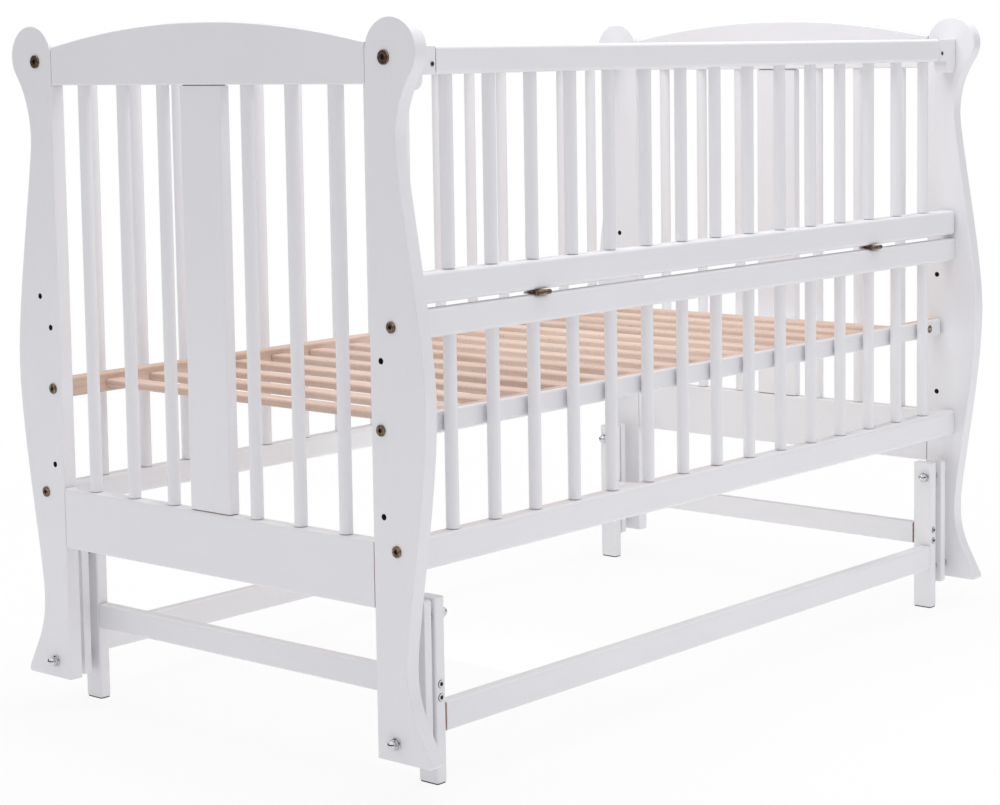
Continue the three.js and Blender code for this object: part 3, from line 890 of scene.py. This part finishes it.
def spindle(name, low_z, high_z, size):
    """A turned spindle on the crib's middle line, with a round tenon at each end."""
    start, stop = low_z + size.foot_gap, high_z + size.sink
    neck, tenon = MM / 2, size.tenon_radius
    piece = turned(name, [
        (tenon - neck, start - size.tenon_depth), (tenon, start - size.tenon_depth + neck),
        (tenon, start), *bar(size.spindle / 2, start, stop, neck / 2), (tenon, stop),
        (tenon, stop + size.tenon_depth - neck), (tenon - neck, stop + size.tenon_depth),
    ], sides=36)
    polish(piece, angle=50)
    return piece


def stand_spindles(prefix, places, low_z, high_z, size, body):
    """Stands a spindle at each place, all copies of the first."""
    first = spindle(f"{prefix}_1", low_z, high_z, size)
    row = [copied(first, f"{prefix}_{i + 2}", place) for i, place in enumerate(places[1:])]
    first.location = places[0]
    settle(first)
    for piece in [first, *row]:
        fit(piece, body, "white_paint", ["white_paint_along_z"])


class CRIB_OT_ends(Operator):
    """Make the two arched end panels"""

    bl_idname = "crib.ends"
    bl_label = "End panels"

    def arch(self, low, high, rise):
        """Outline of the top rail: flat below, one arc above."""
        half = high.y
        shoulder = high.z - rise
        radius = (half * half + rise * rise) / (2 * rise)
        sweep = math.asin(half / radius)
        pull = 4 / 3 * math.tan(sweep / 4) * radius
        run = (pull * math.cos(sweep), pull * math.sin(sweep))
        return [
            ((-half, low.z), None, None),
            ((half, low.z), None, None),
            ((half, shoulder), None, (half - run[0], shoulder + run[1])),
            ((0, high.z), (pull, high.z), (-pull, high.z)),
            ((-half, shoulder), (run[0] - half, shoulder + run[1]), None),
        ]

    def slat(self, name, size, middle, foot, head):
        """The wide slat, with a tenon at each end, bare where the joints are open."""
        def is_bare(face):
            return not foot + MM / 10 < face.center.z < head - MM / 10

        half = Vector((size.slat_thickness, size.slat_width)) / 2
        slat = board(
            name, (middle - half.x, -half.y, foot), (middle + half.x, half.y, head),
            Z, size.slat_round,
        )
        shape_mode(slat, "FACE", lambda part: abs(part.normal.z) > 0.9)
        bpy.ops.mesh.inset(thickness=size.slat_shoulder)
        bpy.ops.mesh.extrude_faces_move(
            TRANSFORM_OT_shrink_fatten={"value": size.slat_gap + size.tenon_depth},
        )
        object_mode()
        mend(slat)
        polish(slat)
        fit(
            slat, "cradle", "white_paint", ["white_paint_along_z", "beech_along_z"],
            second=is_bare,
        )

    def execute(self, context):
        size = context.scene.crib_panel
        both = ["white_paint_along_y", "beech_along_y"]
        for end in ENDS:
            top_node, bottom_node = f"end_top_rail_{end}", f"end_bottom_rail_{end}"
            low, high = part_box(top_node)
            middle = (low.x + high.x) / 2
            low.y, high.y = -POST_INNER + size.joint, POST_INNER - size.joint
            is_sawn_end = is_beyond(Y, high.y - NEAR)
            top = sawn(
                f"{top_node}_arched", self.arch(low, high, size.end_rise), (middle, 0, 0),
                high.x - low.x, size.end_edge, PUSH_ALONG_X, steps=24,
            )
            polish(top)
            fit(top, "cradle", "white_paint", both, top_node, second=is_sawn_end)
            rail = board(
                f"{bottom_node}_board", (low.x, low.y, size.end_top - size.end_height),
                (high.x, high.y, size.end_top), Y, size.end_round, size.end_break,
            )
            polish(rail)
            fit(rail, "cradle", "white_paint", both, bottom_node, second=is_sawn_end)
            foot, head = size.end_top + size.slat_gap, low.z - size.slat_gap
            self.slat(f"end_slat_{end}", size, middle, foot, head)
            steps = [i for i in range(-size.end_count, size.end_count + 1) if i]
            places = [(middle, i * size.end_pitch, 0) for i in steps]
            stand_spindles(f"end_spindle_{end}", places, size.end_top, low.z, size, "cradle")
        return {"FINISHED"}


class CRIB_OT_sides(Operator):
    """Make the back, the lower front and the folding front"""

    bl_idname = "crib.sides"
    bl_label = "Side panels"

    def rail(self, size, node, body, height=None, raised=0.0, planed=0.0, eased=0.0):
        """A side rail in place of its node; gives the height of its top.

        It can have its own height, lie higher, be planed below, or be eased at the back.
        """
        low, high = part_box(node)
        low.z += raised
        if height:
            high.z = low.z + height
        foot = low + UNIT[Z] * planed
        piece = board(
            f"{node}_bar", foot, high, X, size.rail_round, size.end_break, steps=5, eased=eased,
        )
        polish(piece)
        fit(piece, body, "white_paint", ["white_paint_along_x"], node)
        return high.z

    def execute(self, context):
        size = context.scene.crib_panel
        pitch = 2 * CLEAR_HALF / (size.count + 1)
        across = [(i + 1) * pitch - CLEAR_HALF for i in range(size.count)]
        shapes = {
            "back_bottom_rail": {"height": size.back_height, "raised": size.back_lift},
            "back_top_rail": {},
            "front_bottom_rail": {"height": size.bottom_height},
            "front_middle_rail": {"eased": size.eased_round},
            "fold_bottom_rail": {"height": size.fold_height, "planed": size.fold_lift},
        }
        for name, way, body, lower, upper in (
            ("back", 1, "cradle", "back_bottom_rail", "back_top_rail"),
            ("front", -1, "cradle", "front_bottom_rail", "front_middle_rail"),
            ("fold", -1, "folding_front", "fold_bottom_rail", "fold_top_rail"),
        ):
            rail_top = self.rail(size, lower, body, **shapes[lower])
            # The folding front's top rail is made with its latches
            if upper in shapes:
                self.rail(size, upper, body, **shapes[upper])
            places = [(x, way * RAIL_MIDDLE, 0) for x in across]
            stand_spindles(
                f"{name}_spindle", places, rail_top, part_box(upper)[0].z, size, body,
            )
        return {"FINISHED"}


class CRIB_OT_latches(Operator):
    """Make the folding front's top rail, its two sliding bolts and their fixed blocks"""

    bl_idname = "crib.latches"
    bl_label = "Latches"

    def bolt(self, size, end, middle, run, knob_foot):
        """A round bolt with a turned finger knob on a stem."""
        node = f"latch_bolt_{end}"
        nose, knob = MM, size.knob_radius
        shaft = turned(
            f"{node}_turned", bar(size.bolt_radius, -run, run, nose), middle, LIE_ALONG_X,
            sides=32,
        )
        pin = turned("knob", [
            (size.stem, 0), (size.stem, knob_foot), (knob - nose, knob_foot),
            (knob, knob_foot + nose),
            *((knob * part, knob_foot + rise * MM) for part, rise in KNOB_PROFILE),
        ], middle, LIE_ALONG_Y, sides=32)
        cut(shaft, [pin], "UNION")
        mend(shaft)
        polish(shaft, angle=35)
        fit(shaft, f"latch_{end}", "bronze", ["bronzed_steel"], node)

    def block_outline(self, size, low, high, fold_low, way):
        """A block level with the rail, with a round-footed cheek down the post."""
        def at(x, z):
            return way * x, z

        inner, outer = sorted((abs(low.x), abs(high.x)))
        step = inner + size.block_width
        half = min(size.cheek_round, (outer - step) / 2)
        ankle = low.z + half
        pull = 0.55 * half
        middle = (outer + step) / 2
        return [
            (at(inner, fold_low), None, None),
            (at(inner, high.z), None, None),
            (at(outer, high.z), None, None),
            (at(outer, ankle), None, at(outer, ankle - pull)),
            (at(middle, low.z), at(middle + pull, low.z), at(middle - pull, low.z)),
            (at(step, ankle), at(step, ankle - pull), None),
            (at(step, fold_low), None, None),
        ]

    def fixed_block(self, size, end, way, fold_low):
        """The block on a post that receives a bolt."""
        node = f"latch_block_{end}"
        low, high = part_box(node)
        y = middle_of(node).y
        piece = sawn(
            f"{node}_shaped", self.block_outline(size, low, high, fold_low, way), (0, y, 0),
            high.y - low.y, size.block_edge, PUSH_ALONG_Y,
        )
        mouth = (way * min(abs(low.x), abs(high.x)), y, middle_of(f"latch_bolt_{end}").z)
        cut(piece, [drill(mouth, size.bolt_radius + GAP, size.bore_depth)])
        polish(piece)
        fit(piece, "cradle", "white_paint", ["white_paint_along_z"], node)

    def execute(self, context):
        panel, size = context.scene.crib_panel, context.scene.crib_metal
        low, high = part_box("fold_top_rail")
        rail = board(
            "fold_top_rail_bar", low, high, X, panel.rail_round, panel.end_break, steps=5,
        )
        tools = []
        for end, way in ENDS.items():
            middle = middle_of(f"latch_bolt_{end}")
            middle.y = -RAIL_MIDDLE
            run = thickness_of(f"latch_bolt_{end}") / 2
            inner, mouth = middle.x - way * (run + GAP), way * (high.x + MM)
            tools.append(drill(
                ((mouth + inner) / 2, middle.y, middle.z), size.bolt_radius + GAP,
                abs(mouth - inner),
            ))
            reach = size.stem + GAP
            near, far = sorted((middle.x - way * reach, middle.x + way * (size.travel + reach)))
            tools.append(block(
                "slot", (near, middle.y, middle.z - reach),
                (far, high.y + MM, middle.z + reach),
            ))
            self.bolt(size, end, middle, run, high.y + GAP - middle.y)
        cut(rail, tools)
        polish(rail)
        fit(rail, "folding_front", "white_paint", ["white_paint_along_x"], "fold_top_rail")
        for end, way in ENDS.items():
            self.fixed_block(size, end, way, low.z)
        return {"FINISHED"}


class CRIB_OT_base(Operator):
    """Make the mattress base's two rails and its slats"""

    bl_idname = "crib.base"
    bl_label = "Mattress base"

    def execute(self, context):
        size = context.scene.crib_base
        for side, way in SIDES.items():
            node = f"base_rail_{side}"
            low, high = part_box(node)
            gap = UNIT[X] * size.rail_gap
            rail = board(
                f"{node}_bar", low + gap, high - gap, X, size.rail_round, size.rail_end,
            )
            polish(rail)
            # Only the side away from the mattress is painted, round to where it turns inwards
            turn_in = 0.15
            fit(
                rail, "cradle", "beech", ["beech_along_x", "white_paint_along_x"], node,
                second=lambda face: way * face.normal.y > turn_in,
            )
        low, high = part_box("base_slat_1")
        start = low.copy()
        high.z = size.slat_top
        low.z = size.slat_top - size.slat_thickness
        first = board("base_slat_1_bar", low, high, Y, size.slat_round, size.end_break)
        polish(first)
        slats = [first]
        while f"base_slat_{len(slats) + 1}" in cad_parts:
            node = f"base_slat_{len(slats) + 1}"
            slats.append(copied(first, f"{node}_bar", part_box(node)[0] - start))
        for i, slat in enumerate(slats):
            fit(slat, "cradle", "beech", ["beech_along_y"], f"base_slat_{i + 1}")
        return {"FINISHED"}


class CRIB_OT_stand(Operator):
    """Make the legs, their glides and the stretchers"""

    bl_idname = "crib.stand"
    bl_label = "Stand"

    def leg(self, size, post, side, end):
        """A leg, drilled for its pivot, on its glide."""
        node = f"leg_{side}_{end}"
        low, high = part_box(node)
        foot = Vector((low.x, low.y, size.glide))
        leg = board(f"{node}_post", foot, high, Z, size.leg_round, size.end_break)
        y, z = from_edge(side, post.pivot_inset), post.pivot_height + size.arm_length
        cut(leg, [drill((middle_of(node).x, y, z), post.pivot_radius)])
        polish(leg)
        fit(leg, "stand", "white_paint", ["white_paint_along_z"], node)
        inset = Vector((size.glide_inset, size.glide_inset, 0))
        glide = board(
            f"glide_{side}_{end}", low + inset, Vector((high.x, high.y, size.glide)) - inset,
            Z, size.leg_round, MM / 2,
        )
        polish(glide)
        fit(glide, "stand", "bronze", ["glide_plastic"])

    def stretcher(self, size, node, letter):
        """A stretcher, bare at its sawn ends where the joints are open."""
        grain = "xyz".index(letter)
        low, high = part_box(node)
        trim = UNIT[grain] * (size.stretcher_joint - GAP)
        piece = board(
            f"{node}_bar", low + trim, high - trim, grain, size.stretcher_round,
            size.end_break / 3,
        )
        polish(piece)
        fit(
            piece, "stand", "white_paint",
            [f"white_paint_along_{letter}", f"beech_along_{letter}"], node,
            second=is_beyond(grain, (high - trim)[grain] - NEAR),
        )

    def execute(self, context):
        size, post = context.scene.crib_stand, context.scene.crib_post
        for side, end in CORNERS:
            self.leg(size, post, side, end)
        for end in ENDS:
            self.stretcher(size, f"end_stretcher_{end}", "y")
        for side in SIDES:
            self.stretcher(size, f"long_stretcher_{side}", "x")
        return {"FINISHED"}


class CRIB_OT_arms(Operator):
    """Make the four swing arms"""

    bl_idname = "crib.arms"
    bl_label = "Swing arms"

    def execute(self, context):
        size, post = context.scene.crib_stand, context.scene.crib_post
        heights = (post.pivot_height, post.pivot_height + size.arm_length)
        for side, end in CORNERS:
            node = f"swing_arm_{side}_{end}"
            low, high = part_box(node)
            arm = board(f"{node}_bar", low, high, X, size.arm_round, size.arm_edge, steps=6)
            x, y = middle_of(node).x, from_edge(side, post.pivot_inset)
            cut(arm, [drill((x, y, z), post.pivot_radius) for z in heights])
            polish(arm)
            fit(arm, f"{side}_arms", "white_paint", ["white_paint_along_z"], node)
        return {"FINISHED"}


class CRIB_OT_pivots(Operator):
    """Make the pivot bolts with their cap nuts, washers and spacers"""

    bl_idname = "crib.pivots"
    bl_label = "Pivots"

    def bolt(self, name, size, total, carrier):
        """One pivot bolt, pointing along +X from its cap nut to its head.

        It passes through its carrier, which is a post or a leg, and through a swing arm.
        """
        cap, shank = size.cap_height, size.shank_radius
        spacer, head, lip = size.spacer_radius, size.pivot_head, size.lip
        face = cap + size.washer_height
        start = face + 2 * GAP + carrier
        stop = total - head - thickness_of("swing_arm_front_left") - 2 * GAP
        bolt = turned(name, [
            (size.washer_radius - lip, cap), (size.washer_radius, cap + lip),
            (size.washer_radius, face), (shank, face), (shank, start),
            *bar(spacer, start, stop, lip), (shank, stop), (shank, total - head),
            (spacer, total - head), (spacer, total - head / 3), (spacer - head / 3, total),
        ], turn=LIE_ALONG_X, sides=36)
        # The cap nut is a hexagon with a dome on it
        corner, hexagon = size.nut_flat - 3 * lip, cap * 0.56
        nut = turned("nut", [
            (corner, cap + lip), (size.nut_flat, cap - lip), (size.nut_flat, hexagon + lip),
            (corner, hexagon - lip),
        ], turn=LIE_ALONG_X, sides=6)
        top = turned("dome", [
            (size.dome_radius, -cap + lip), *dome(size.dome_radius, -cap / 2, cap / 2),
        ], turn=LIE_ALONG_X, sides=36)
        top.scale.x = -1
        settle(top)
        mend(top)
        cut(bolt, [nut], "UNION")
        cut(bolt, [top], "UNION")
        mend(bolt)
        polish(bolt, angle=32)
        return bolt

    def execute(self, context):
        size = context.scene.crib_metal
        post, stand = context.scene.crib_post, context.scene.crib_stand
        for level, body, carrier, z in (
            ("upper", "stand", "leg_front_left", post.pivot_height + stand.arm_length),
            ("lower", "cradle", "post_front_left", post.pivot_height),
        ):
            for side, end in CORNERS:
                node = f"{level}_pivot_{side}_{end}"
                low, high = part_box(node)
                piece = self.bolt(
                    f"{node}_turned", size, thickness_of(node), thickness_of(carrier),
                )
                # The upper bolts point outwards from inside the legs, the lower ones inwards
                outwards = (ENDS[end] > 0) == (level == "upper")
                if not outwards:
                    piece.rotation_euler = (0, 0, math.pi)
                y = from_edge(side, post.pivot_inset)
                piece.location = (low.x if outwards else high.x, y, z)
                settle(piece)
                fit(piece, body, "chrome", ["bright_zinc"], node)
        return {"FINISHED"}


class CRIB_OT_hinges(Operator):
    """Make the two butt hinges of the folding front"""

    bl_idname = "crib.hinges"
    bl_label = "Hinges"

    def leaf(self, name, size, back, middle, is_lower):
        """One leaf with its knuckles and its pin, or the bore for it."""
        run = size.hinge_length / 2
        third = 2 * run / 3
        near, far = third / 2 - GAP / 2, third / 2 + GAP / 2
        y, z = middle.y, middle.z
        if is_lower:
            slots, knuckles = [(-far, far)], (-third, third)
            bottom, top = z - size.leaf_gap - size.leaf, z - size.leaf_gap
        else:
            slots, knuckles = [(-run - MM, -near), (near, run + MM)], (0,)
            bottom, top = z + size.leaf_gap, z + size.leaf_gap + size.leaf
        plate = board(
            name, (GAP - run, y, bottom), (run - GAP, back, top), X, GAP, GAP, steps=2,
        )
        clear = size.knuckle_radius + GAP
        cut(plate, [
            block("slot", (a, y - clear, z - clear), (b, y + clear, z + clear))
            for a, b in slots
        ])
        rim = 0.35 * MM
        eye = bar(size.knuckle_radius, -near, near, rim)
        for x in knuckles:
            cut(plate, [turned("knuckle", eye, (x, y, z), LIE_ALONG_X, sides=28)], "UNION")
        if is_lower:
            pin = [(size.hinge_pin, -run), (size.hinge_pin, run)]
            cut(plate, [turned("pin", pin, (0, y, z), LIE_ALONG_X, sides=20)], "UNION")
        else:
            cut(plate, [drill((0, y, z), size.hinge_pin + GAP, 4 * run, sides=20)])
        mend(plate)
        polish(plate, angle=32)
        plate.location.x = middle.x
        settle(plate)
        return plate

    def execute(self, context):
        size = context.scene.crib_metal
        for end, way in ENDS.items():
            low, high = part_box(f"hinge_lower_leaf_{end}")
            radius = size.knuckle_radius
            middle = Vector((way * size.hinge_spread, low.y + radius, high.z - radius))
            for half, body in (("lower", "cradle"), ("upper", "folding_front")):
                node = f"hinge_{half}_leaf_{end}"
                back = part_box(node)[1].y
                piece = self.leaf(f"{node}_plate", size, back, middle, half == "lower")
                fit(piece, body, "bronze", ["bronzed_steel"], node)
        return {"FINISHED"}


class CRIB_OT_fasteners(Operator):
    """Make the socket bolts, the barrel nuts and the screws"""

    bl_idname = "crib.fasteners"
    bl_label = "Fasteners"

    def socket_bolt(self, name, radius, rise, socket, depth, stub):
        """A flat bolt head with a ring, a socket and a stub of shank, looking along +Z."""
        rim, shank = rise * HEAD_RIM, radius * HEAD_SHANK
        outer, falls, rises, inner = (radius * part for part in HEAD_RING)
        head = turned(name, [
            (shank, -stub), (shank, 0), (radius, 0), (radius, rise - rim), (radius - rim, rise),
            (outer, rise), (falls, rise - rim / 2), (rises, rise - rim / 2), (inner, rise),
        ], sides=48)
        cut(head, [drill((0, 0, rise), socket, 2 * depth, turn=(0, 0, 0), sides=6)])
        mend(head)
        polish(head, angle=30)
        return head

    def barrel_nut(self, size):
        """The slotted end of a barrel nut, looking along +Z."""
        radius, slot = size.nut_radius, size.nut_slot
        sunk, run, edge = 3 * MM, 4 * MM, MM / 3
        nut = turned("nut_model", [(radius, -sunk), (radius, 0), (radius - edge, edge)])
        cut(nut, [block("slot", (-run, -slot, -MM), (run, slot, MM))])
        mend(nut)
        polish(nut, angle=30)
        return nut

    def outer_face(self, side, low, high):
        """Where the outer face of a box lies on this side, and the turn that looks out of it."""
        way = SIDES[side]
        return (high.y if way > 0 else low.y), (way * math.radians(-90), 0, 0)

    def place(self, model, name, spot, turn, body, metal=BRONZE, socket=0.0, ring=0.0):
        """A copy of a modelled fastener at its spot.

        It takes a painted shade down in its socket, and a painted shadow further out than ring.
        """
        twin = copied(model, name, spot, turn)
        outwards = Vector((0, 0, 1))
        outwards.rotate(Euler(turn))
        rim = max((corner.co - Vector(spot)).dot(outwards) for corner in twin.data.vertices)

        # Faces down in the socket, and beyond ring, take the painted shade
        def is_painted_shade(face):
            away = face.center - Vector(spot)
            height = away.dot(outwards)
            reach = (away - height * outwards).length
            return (reach < socket and height < rim) or 0 < ring < reach

        slot, material = metal
        fit(twin, body, slot, [material, "painted_shade_steel"], second=is_painted_shade)

    def execute(self, context):
        size = context.scene.crib_metal
        rise, pin_rise, sink = size.screw_rise, size.pin_rise_out, size.screw_sink
        # Radius, rise, radius and depth of the socket, and length of the stub of shank
        bolt = (size.head_rise, size.socket_radius, size.socket_depth, 5 * MM)
        kinds = {
            "bolt": (size.head_radius, *bolt),
            "large_bolt": (size.top_radius, *bolt),
            "screw": (size.screw_radius, rise, size.screw_socket, rise * sink, 4 * MM),
            "pin": (size.pin_radius, pin_rise, size.pin_socket, pin_rise * sink, 3 * MM),
        }
        models = {
            kind: self.socket_bolt(f"{kind}_model", *form) for kind, form in kinds.items()
        }
        models["nut"] = self.barrel_nut(size)
        levels = (
            ("top", "large_bolt", size.top_inset, size.top_z),
            ("base", "bolt", size.base_inset, size.base_z),
            ("bottom", "bolt", size.bottom_inset, size.bottom_z),
            ("middle", "bolt", size.middle_inset, size.middle_z),
        )
        for side, end in CORNERS:
            way = ENDS[end]
            for level, kind, inset, height in levels[:4 if side == "front" else 3]:
                self.place(
                    models[kind], f"bolt_{level}_{side}_{end}",
                    (way * POST_OUTER, from_edge(side, inset), height),
                    (0, way * math.radians(90), 0), "cradle", socket=size.socket_radius,
                )
        for side, end in CORNERS:
            low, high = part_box(f"base_rail_{side}")
            face, turn = self.outer_face(side, low, high)
            spot = (ENDS[end] * (high.x - size.nut_inset), face, (low.z + high.z) / 2)
            self.place(models["nut"], f"barrel_nut_{side}_{end}", spot, turn, "cradle")
        # A painted shadow ring round each screw's head
        painted_shadow_rim = size.screw_radius * 0.9
        for side, end in CORNERS:
            low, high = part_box(f"leg_{side}_{end}")
            face, turn = self.outer_face(side, low, high)
            for level, height in (("low", size.screw_low), ("high", size.screw_high)):
                self.place(
                    models["screw"], f"screw_{level}_{side}_{end}",
                    ((low.x + high.x) / 2, face, height), turn, "stand", ZINC,
                    size.screw_socket, painted_shadow_rim,
                )
        for end, way in ENDS.items():
            low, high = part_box(f"latch_block_{end}")
            x = way * (min(abs(low.x), abs(high.x)) + size.pin_inset)
            spot = (x, low.y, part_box("fold_top_rail")[0].z + size.pin_rise)
            self.place(
                models["pin"], f"block_screw_{end}", spot, PUSH_ALONG_Y, "cradle",
                socket=size.pin_socket,
            )
        for model in models.values():
            bpy.data.objects.remove(model, do_unlink=True)
        return {"FINISHED"}


class CRIB_OT_stage(Operator):
    """Lay the floor, hang the lamps and set up the camera"""

    bl_idname = "crib.stage"
    bl_label = "Stage"

    def seen_directly(self, tree):
        """One where a surface is seen straight, in metal or through glass."""
        path = add_node(tree, "ShaderNodeLightPath").outputs
        first = figure(tree, "MAXIMUM", path["Is Camera Ray"], path["Is Glossy Ray"])
        return figure(tree, "MAXIMUM", first, path["Is Transmission Ray"])

    def glow(self, tree, kind, shade, strength):
        """A shader that gives light."""
        return add_node(tree, kind, {"Color": shade, "Strength": strength}).outputs[0]

    def mixed(self, tree, factor, first, second):
        """Two shaders mixed."""
        inputs = {0: factor, 1: first, 2: second}
        return add_node(tree, "ShaderNodeMixShader", inputs).outputs[0]

    def floor(self, settings, colours):
        """A pale floor that turns pure white away from the crib's shadow."""
        bpy.ops.mesh.primitive_plane_add(size=settings.floor_size)
        floor = bpy.context.object
        floor.name = "floor"
        settle(floor)
        material = bpy.data.materials.new("pale_floor")
        tree = fresh_tree(material)
        place = add_node(tree, "ShaderNodeTexCoord").outputs["Object"]
        away = add_node(tree, "ShaderNodeVectorMath", {0: place}, operation="LENGTH")
        fade = spread(tree, away.outputs["Value"], 0.6, 2.2, 0.84, 1.0)
        matt = add_node(tree, "ShaderNodeBsdfDiffuse", {"Color": colours.floor}).outputs[0]
        diffuse = add_node(tree, "ShaderNodeLightPath").outputs["Is Diffuse Ray"]
        bounce = figure(tree, "MULTIPLY", diffuse, settings.bounce)
        thrown = self.glow(tree, "ShaderNodeEmission", WHITE, bounce)
        lit = add_node(tree, "ShaderNodeAddShader", {0: matt, 1: thrown}).outputs[0]
        white = self.glow(tree, "ShaderNodeEmission", WHITE, 1.0)
        factor = figure(tree, "MULTIPLY", self.seen_directly(tree), fade)
        surface = self.mixed(tree, factor, lit, white)
        add_node(tree, "ShaderNodeOutputMaterial", {"Surface": surface})
        floor.data.materials.append(material)

    def sky(self, settings, colours):
        """Light all round, a little stronger from behind and above, seen as plain white."""
        world = bpy.data.worlds.new("sky")
        bpy.context.scene.world = world
        tree = fresh_tree(world)
        way = add_node(tree, "ShaderNodeTexCoord").outputs["Generated"]
        lean = add_node(
            tree, "ShaderNodeVectorMath", {0: way, 1: settings.lean}, operation="DOT_PRODUCT",
        )
        level = figure(tree, "ADD", lean.outputs["Value"], settings.sky)
        light = self.glow(tree, "ShaderNodeBackground", colours.daylight, level)
        white = self.glow(tree, "ShaderNodeBackground", WHITE, 1.0)
        surface = self.mixed(tree, self.seen_directly(tree), light, white)
        add_node(tree, "ShaderNodeOutputWorld", {"Surface": surface})

    def dark_wall(self, settings):
        """A dark wall far round the crib that only shiny metal mirrors."""
        bpy.ops.mesh.primitive_cylinder_add(
            vertices=96, radius=settings.wall_radius, depth=settings.wall_height,
            end_fill_type="NOTHING", location=(0, 0, settings.wall_height / 2),
        )
        wall = bpy.context.object
        wall.name = "dark_wall"
        settle(wall)
        for kind in ("camera", "diffuse", "transmission", "volume_scatter", "shadow"):
            setattr(wall, f"visible_{kind}", False)
        material = bpy.data.materials.new("dark_cloth")
        tree = fresh_tree(material)
        cloth = self.glow(tree, "ShaderNodeEmission", DARK_CLOTH, 1.0)
        add_node(tree, "ShaderNodeOutputMaterial", {"Surface": cloth})
        wall.data.materials.append(material)

    def lamp(self, name, place, aim, size, power, shade=WHITE):
        """A soft square lamp that looks at a point."""
        bpy.ops.object.light_add(type="AREA", location=place)
        lamp = bpy.context.object
        lamp.name = name
        lamp.data.energy = power
        lamp.data.size = size
        lamp.data.color = shade[:3]
        lamp.visible_camera = False
        look = Vector(aim) - Vector(place)
        lamp.rotation_euler = look.to_track_quat("-Z", "Y").to_euler()

    def camera(self, settings):
        """The camera at the photograph's viewing angle."""
        bpy.ops.object.camera_add(location=settings.place)
        camera = bpy.context.object
        camera.name = "camera"
        a, e = settings.azimuth, settings.elevation
        back = Vector((math.sin(a) * math.cos(e), -math.cos(a) * math.cos(e), math.sin(e)))
        right = Vector((math.cos(a), math.sin(a), 0))
        up = back.cross(right)
        c, s = math.cos(settings.roll), math.sin(settings.roll)
        turn = Matrix((c * right + s * up, c * up - s * right, back)).transposed().to_4x4()
        camera.matrix_world = Matrix.Translation(settings.place) @ turn
        camera.data.lens = settings.lens
        camera.data.sensor_width = 36
        camera.data.shift_y = settings.shift
        camera.data.clip_start = 0.05
        camera.data.clip_end = 100
        bpy.context.scene.camera = camera

    def execute(self, context):
        settings, colours = context.scene.crib_stage, context.scene.crib_colours
        self.floor(settings, colours)
        self.sky(settings, colours)
        self.lamp("top_lamp", (0, -0.15, 2.1), (0.35, 0, 0.4), 1.4, settings.top_power)
        self.lamp(
            "low_lamp", (-0.15, 0, 0.14), (0.62, 0, 0.3), 0.3, settings.low_power, colours.cool,
        )
        self.dark_wall(settings)
        self.camera(settings)
        context.scene.view_settings.view_transform = "Standard"
        return {"FINISHED"}


class CRIB_PT_panel(Panel):
    """Sizes, colours and pieces of the crib"""

    bl_idname = "CRIB_PT_panel"
    bl_label = "Crib"
    bl_space_type = "VIEW_3D"
    bl_region_type = "UI"
    bl_category = "Crib"

    def draw(self, context):
        for operator in OPERATORS:
            self.layout.operator(operator.bl_idname)
        for name, group in GROUPS.items():
            box = self.layout.box()
            box.label(text=group.__doc__)
            for key in group.__annotations__:
                box.prop(getattr(context.scene, name), key)


OPERATORS = (
    CRIB_OT_finishes, CRIB_OT_posts, CRIB_OT_ends, CRIB_OT_sides, CRIB_OT_latches,
    CRIB_OT_base, CRIB_OT_stand, CRIB_OT_arms, CRIB_OT_pivots, CRIB_OT_hinges,
    CRIB_OT_fasteners, CRIB_OT_stage,
)
CLASSES = (*GROUPS.values(), *OPERATORS, CRIB_PT_panel)


def register():
    """Registers the classes and gives the scene its settings."""
    for cls in CLASSES:
        bpy.utils.register_class(cls)
    for name, group in GROUPS.items():
        setattr(bpy.types.Scene, name, PointerProperty(type=group))


def unregister():
    """Takes the settings and the classes away again."""
    for name in reversed(list(GROUPS)):
        delattr(bpy.types.Scene, name)
    for cls in reversed(CLASSES):
        bpy.utils.unregister_class(cls)


def main():
    """Makes every piece."""
    register()
    bpy.ops.crib.finishes()
    bpy.ops.crib.posts()
    bpy.ops.crib.ends()
    bpy.ops.crib.sides()
    bpy.ops.crib.latches()
    bpy.ops.crib.base()
    bpy.ops.crib.stand()
    bpy.ops.crib.arms()
    bpy.ops.crib.pivots()
    bpy.ops.crib.hinges()
    bpy.ops.crib.fasteners()
    bpy.ops.crib.stage()


if __name__ == "__main__":
    main()
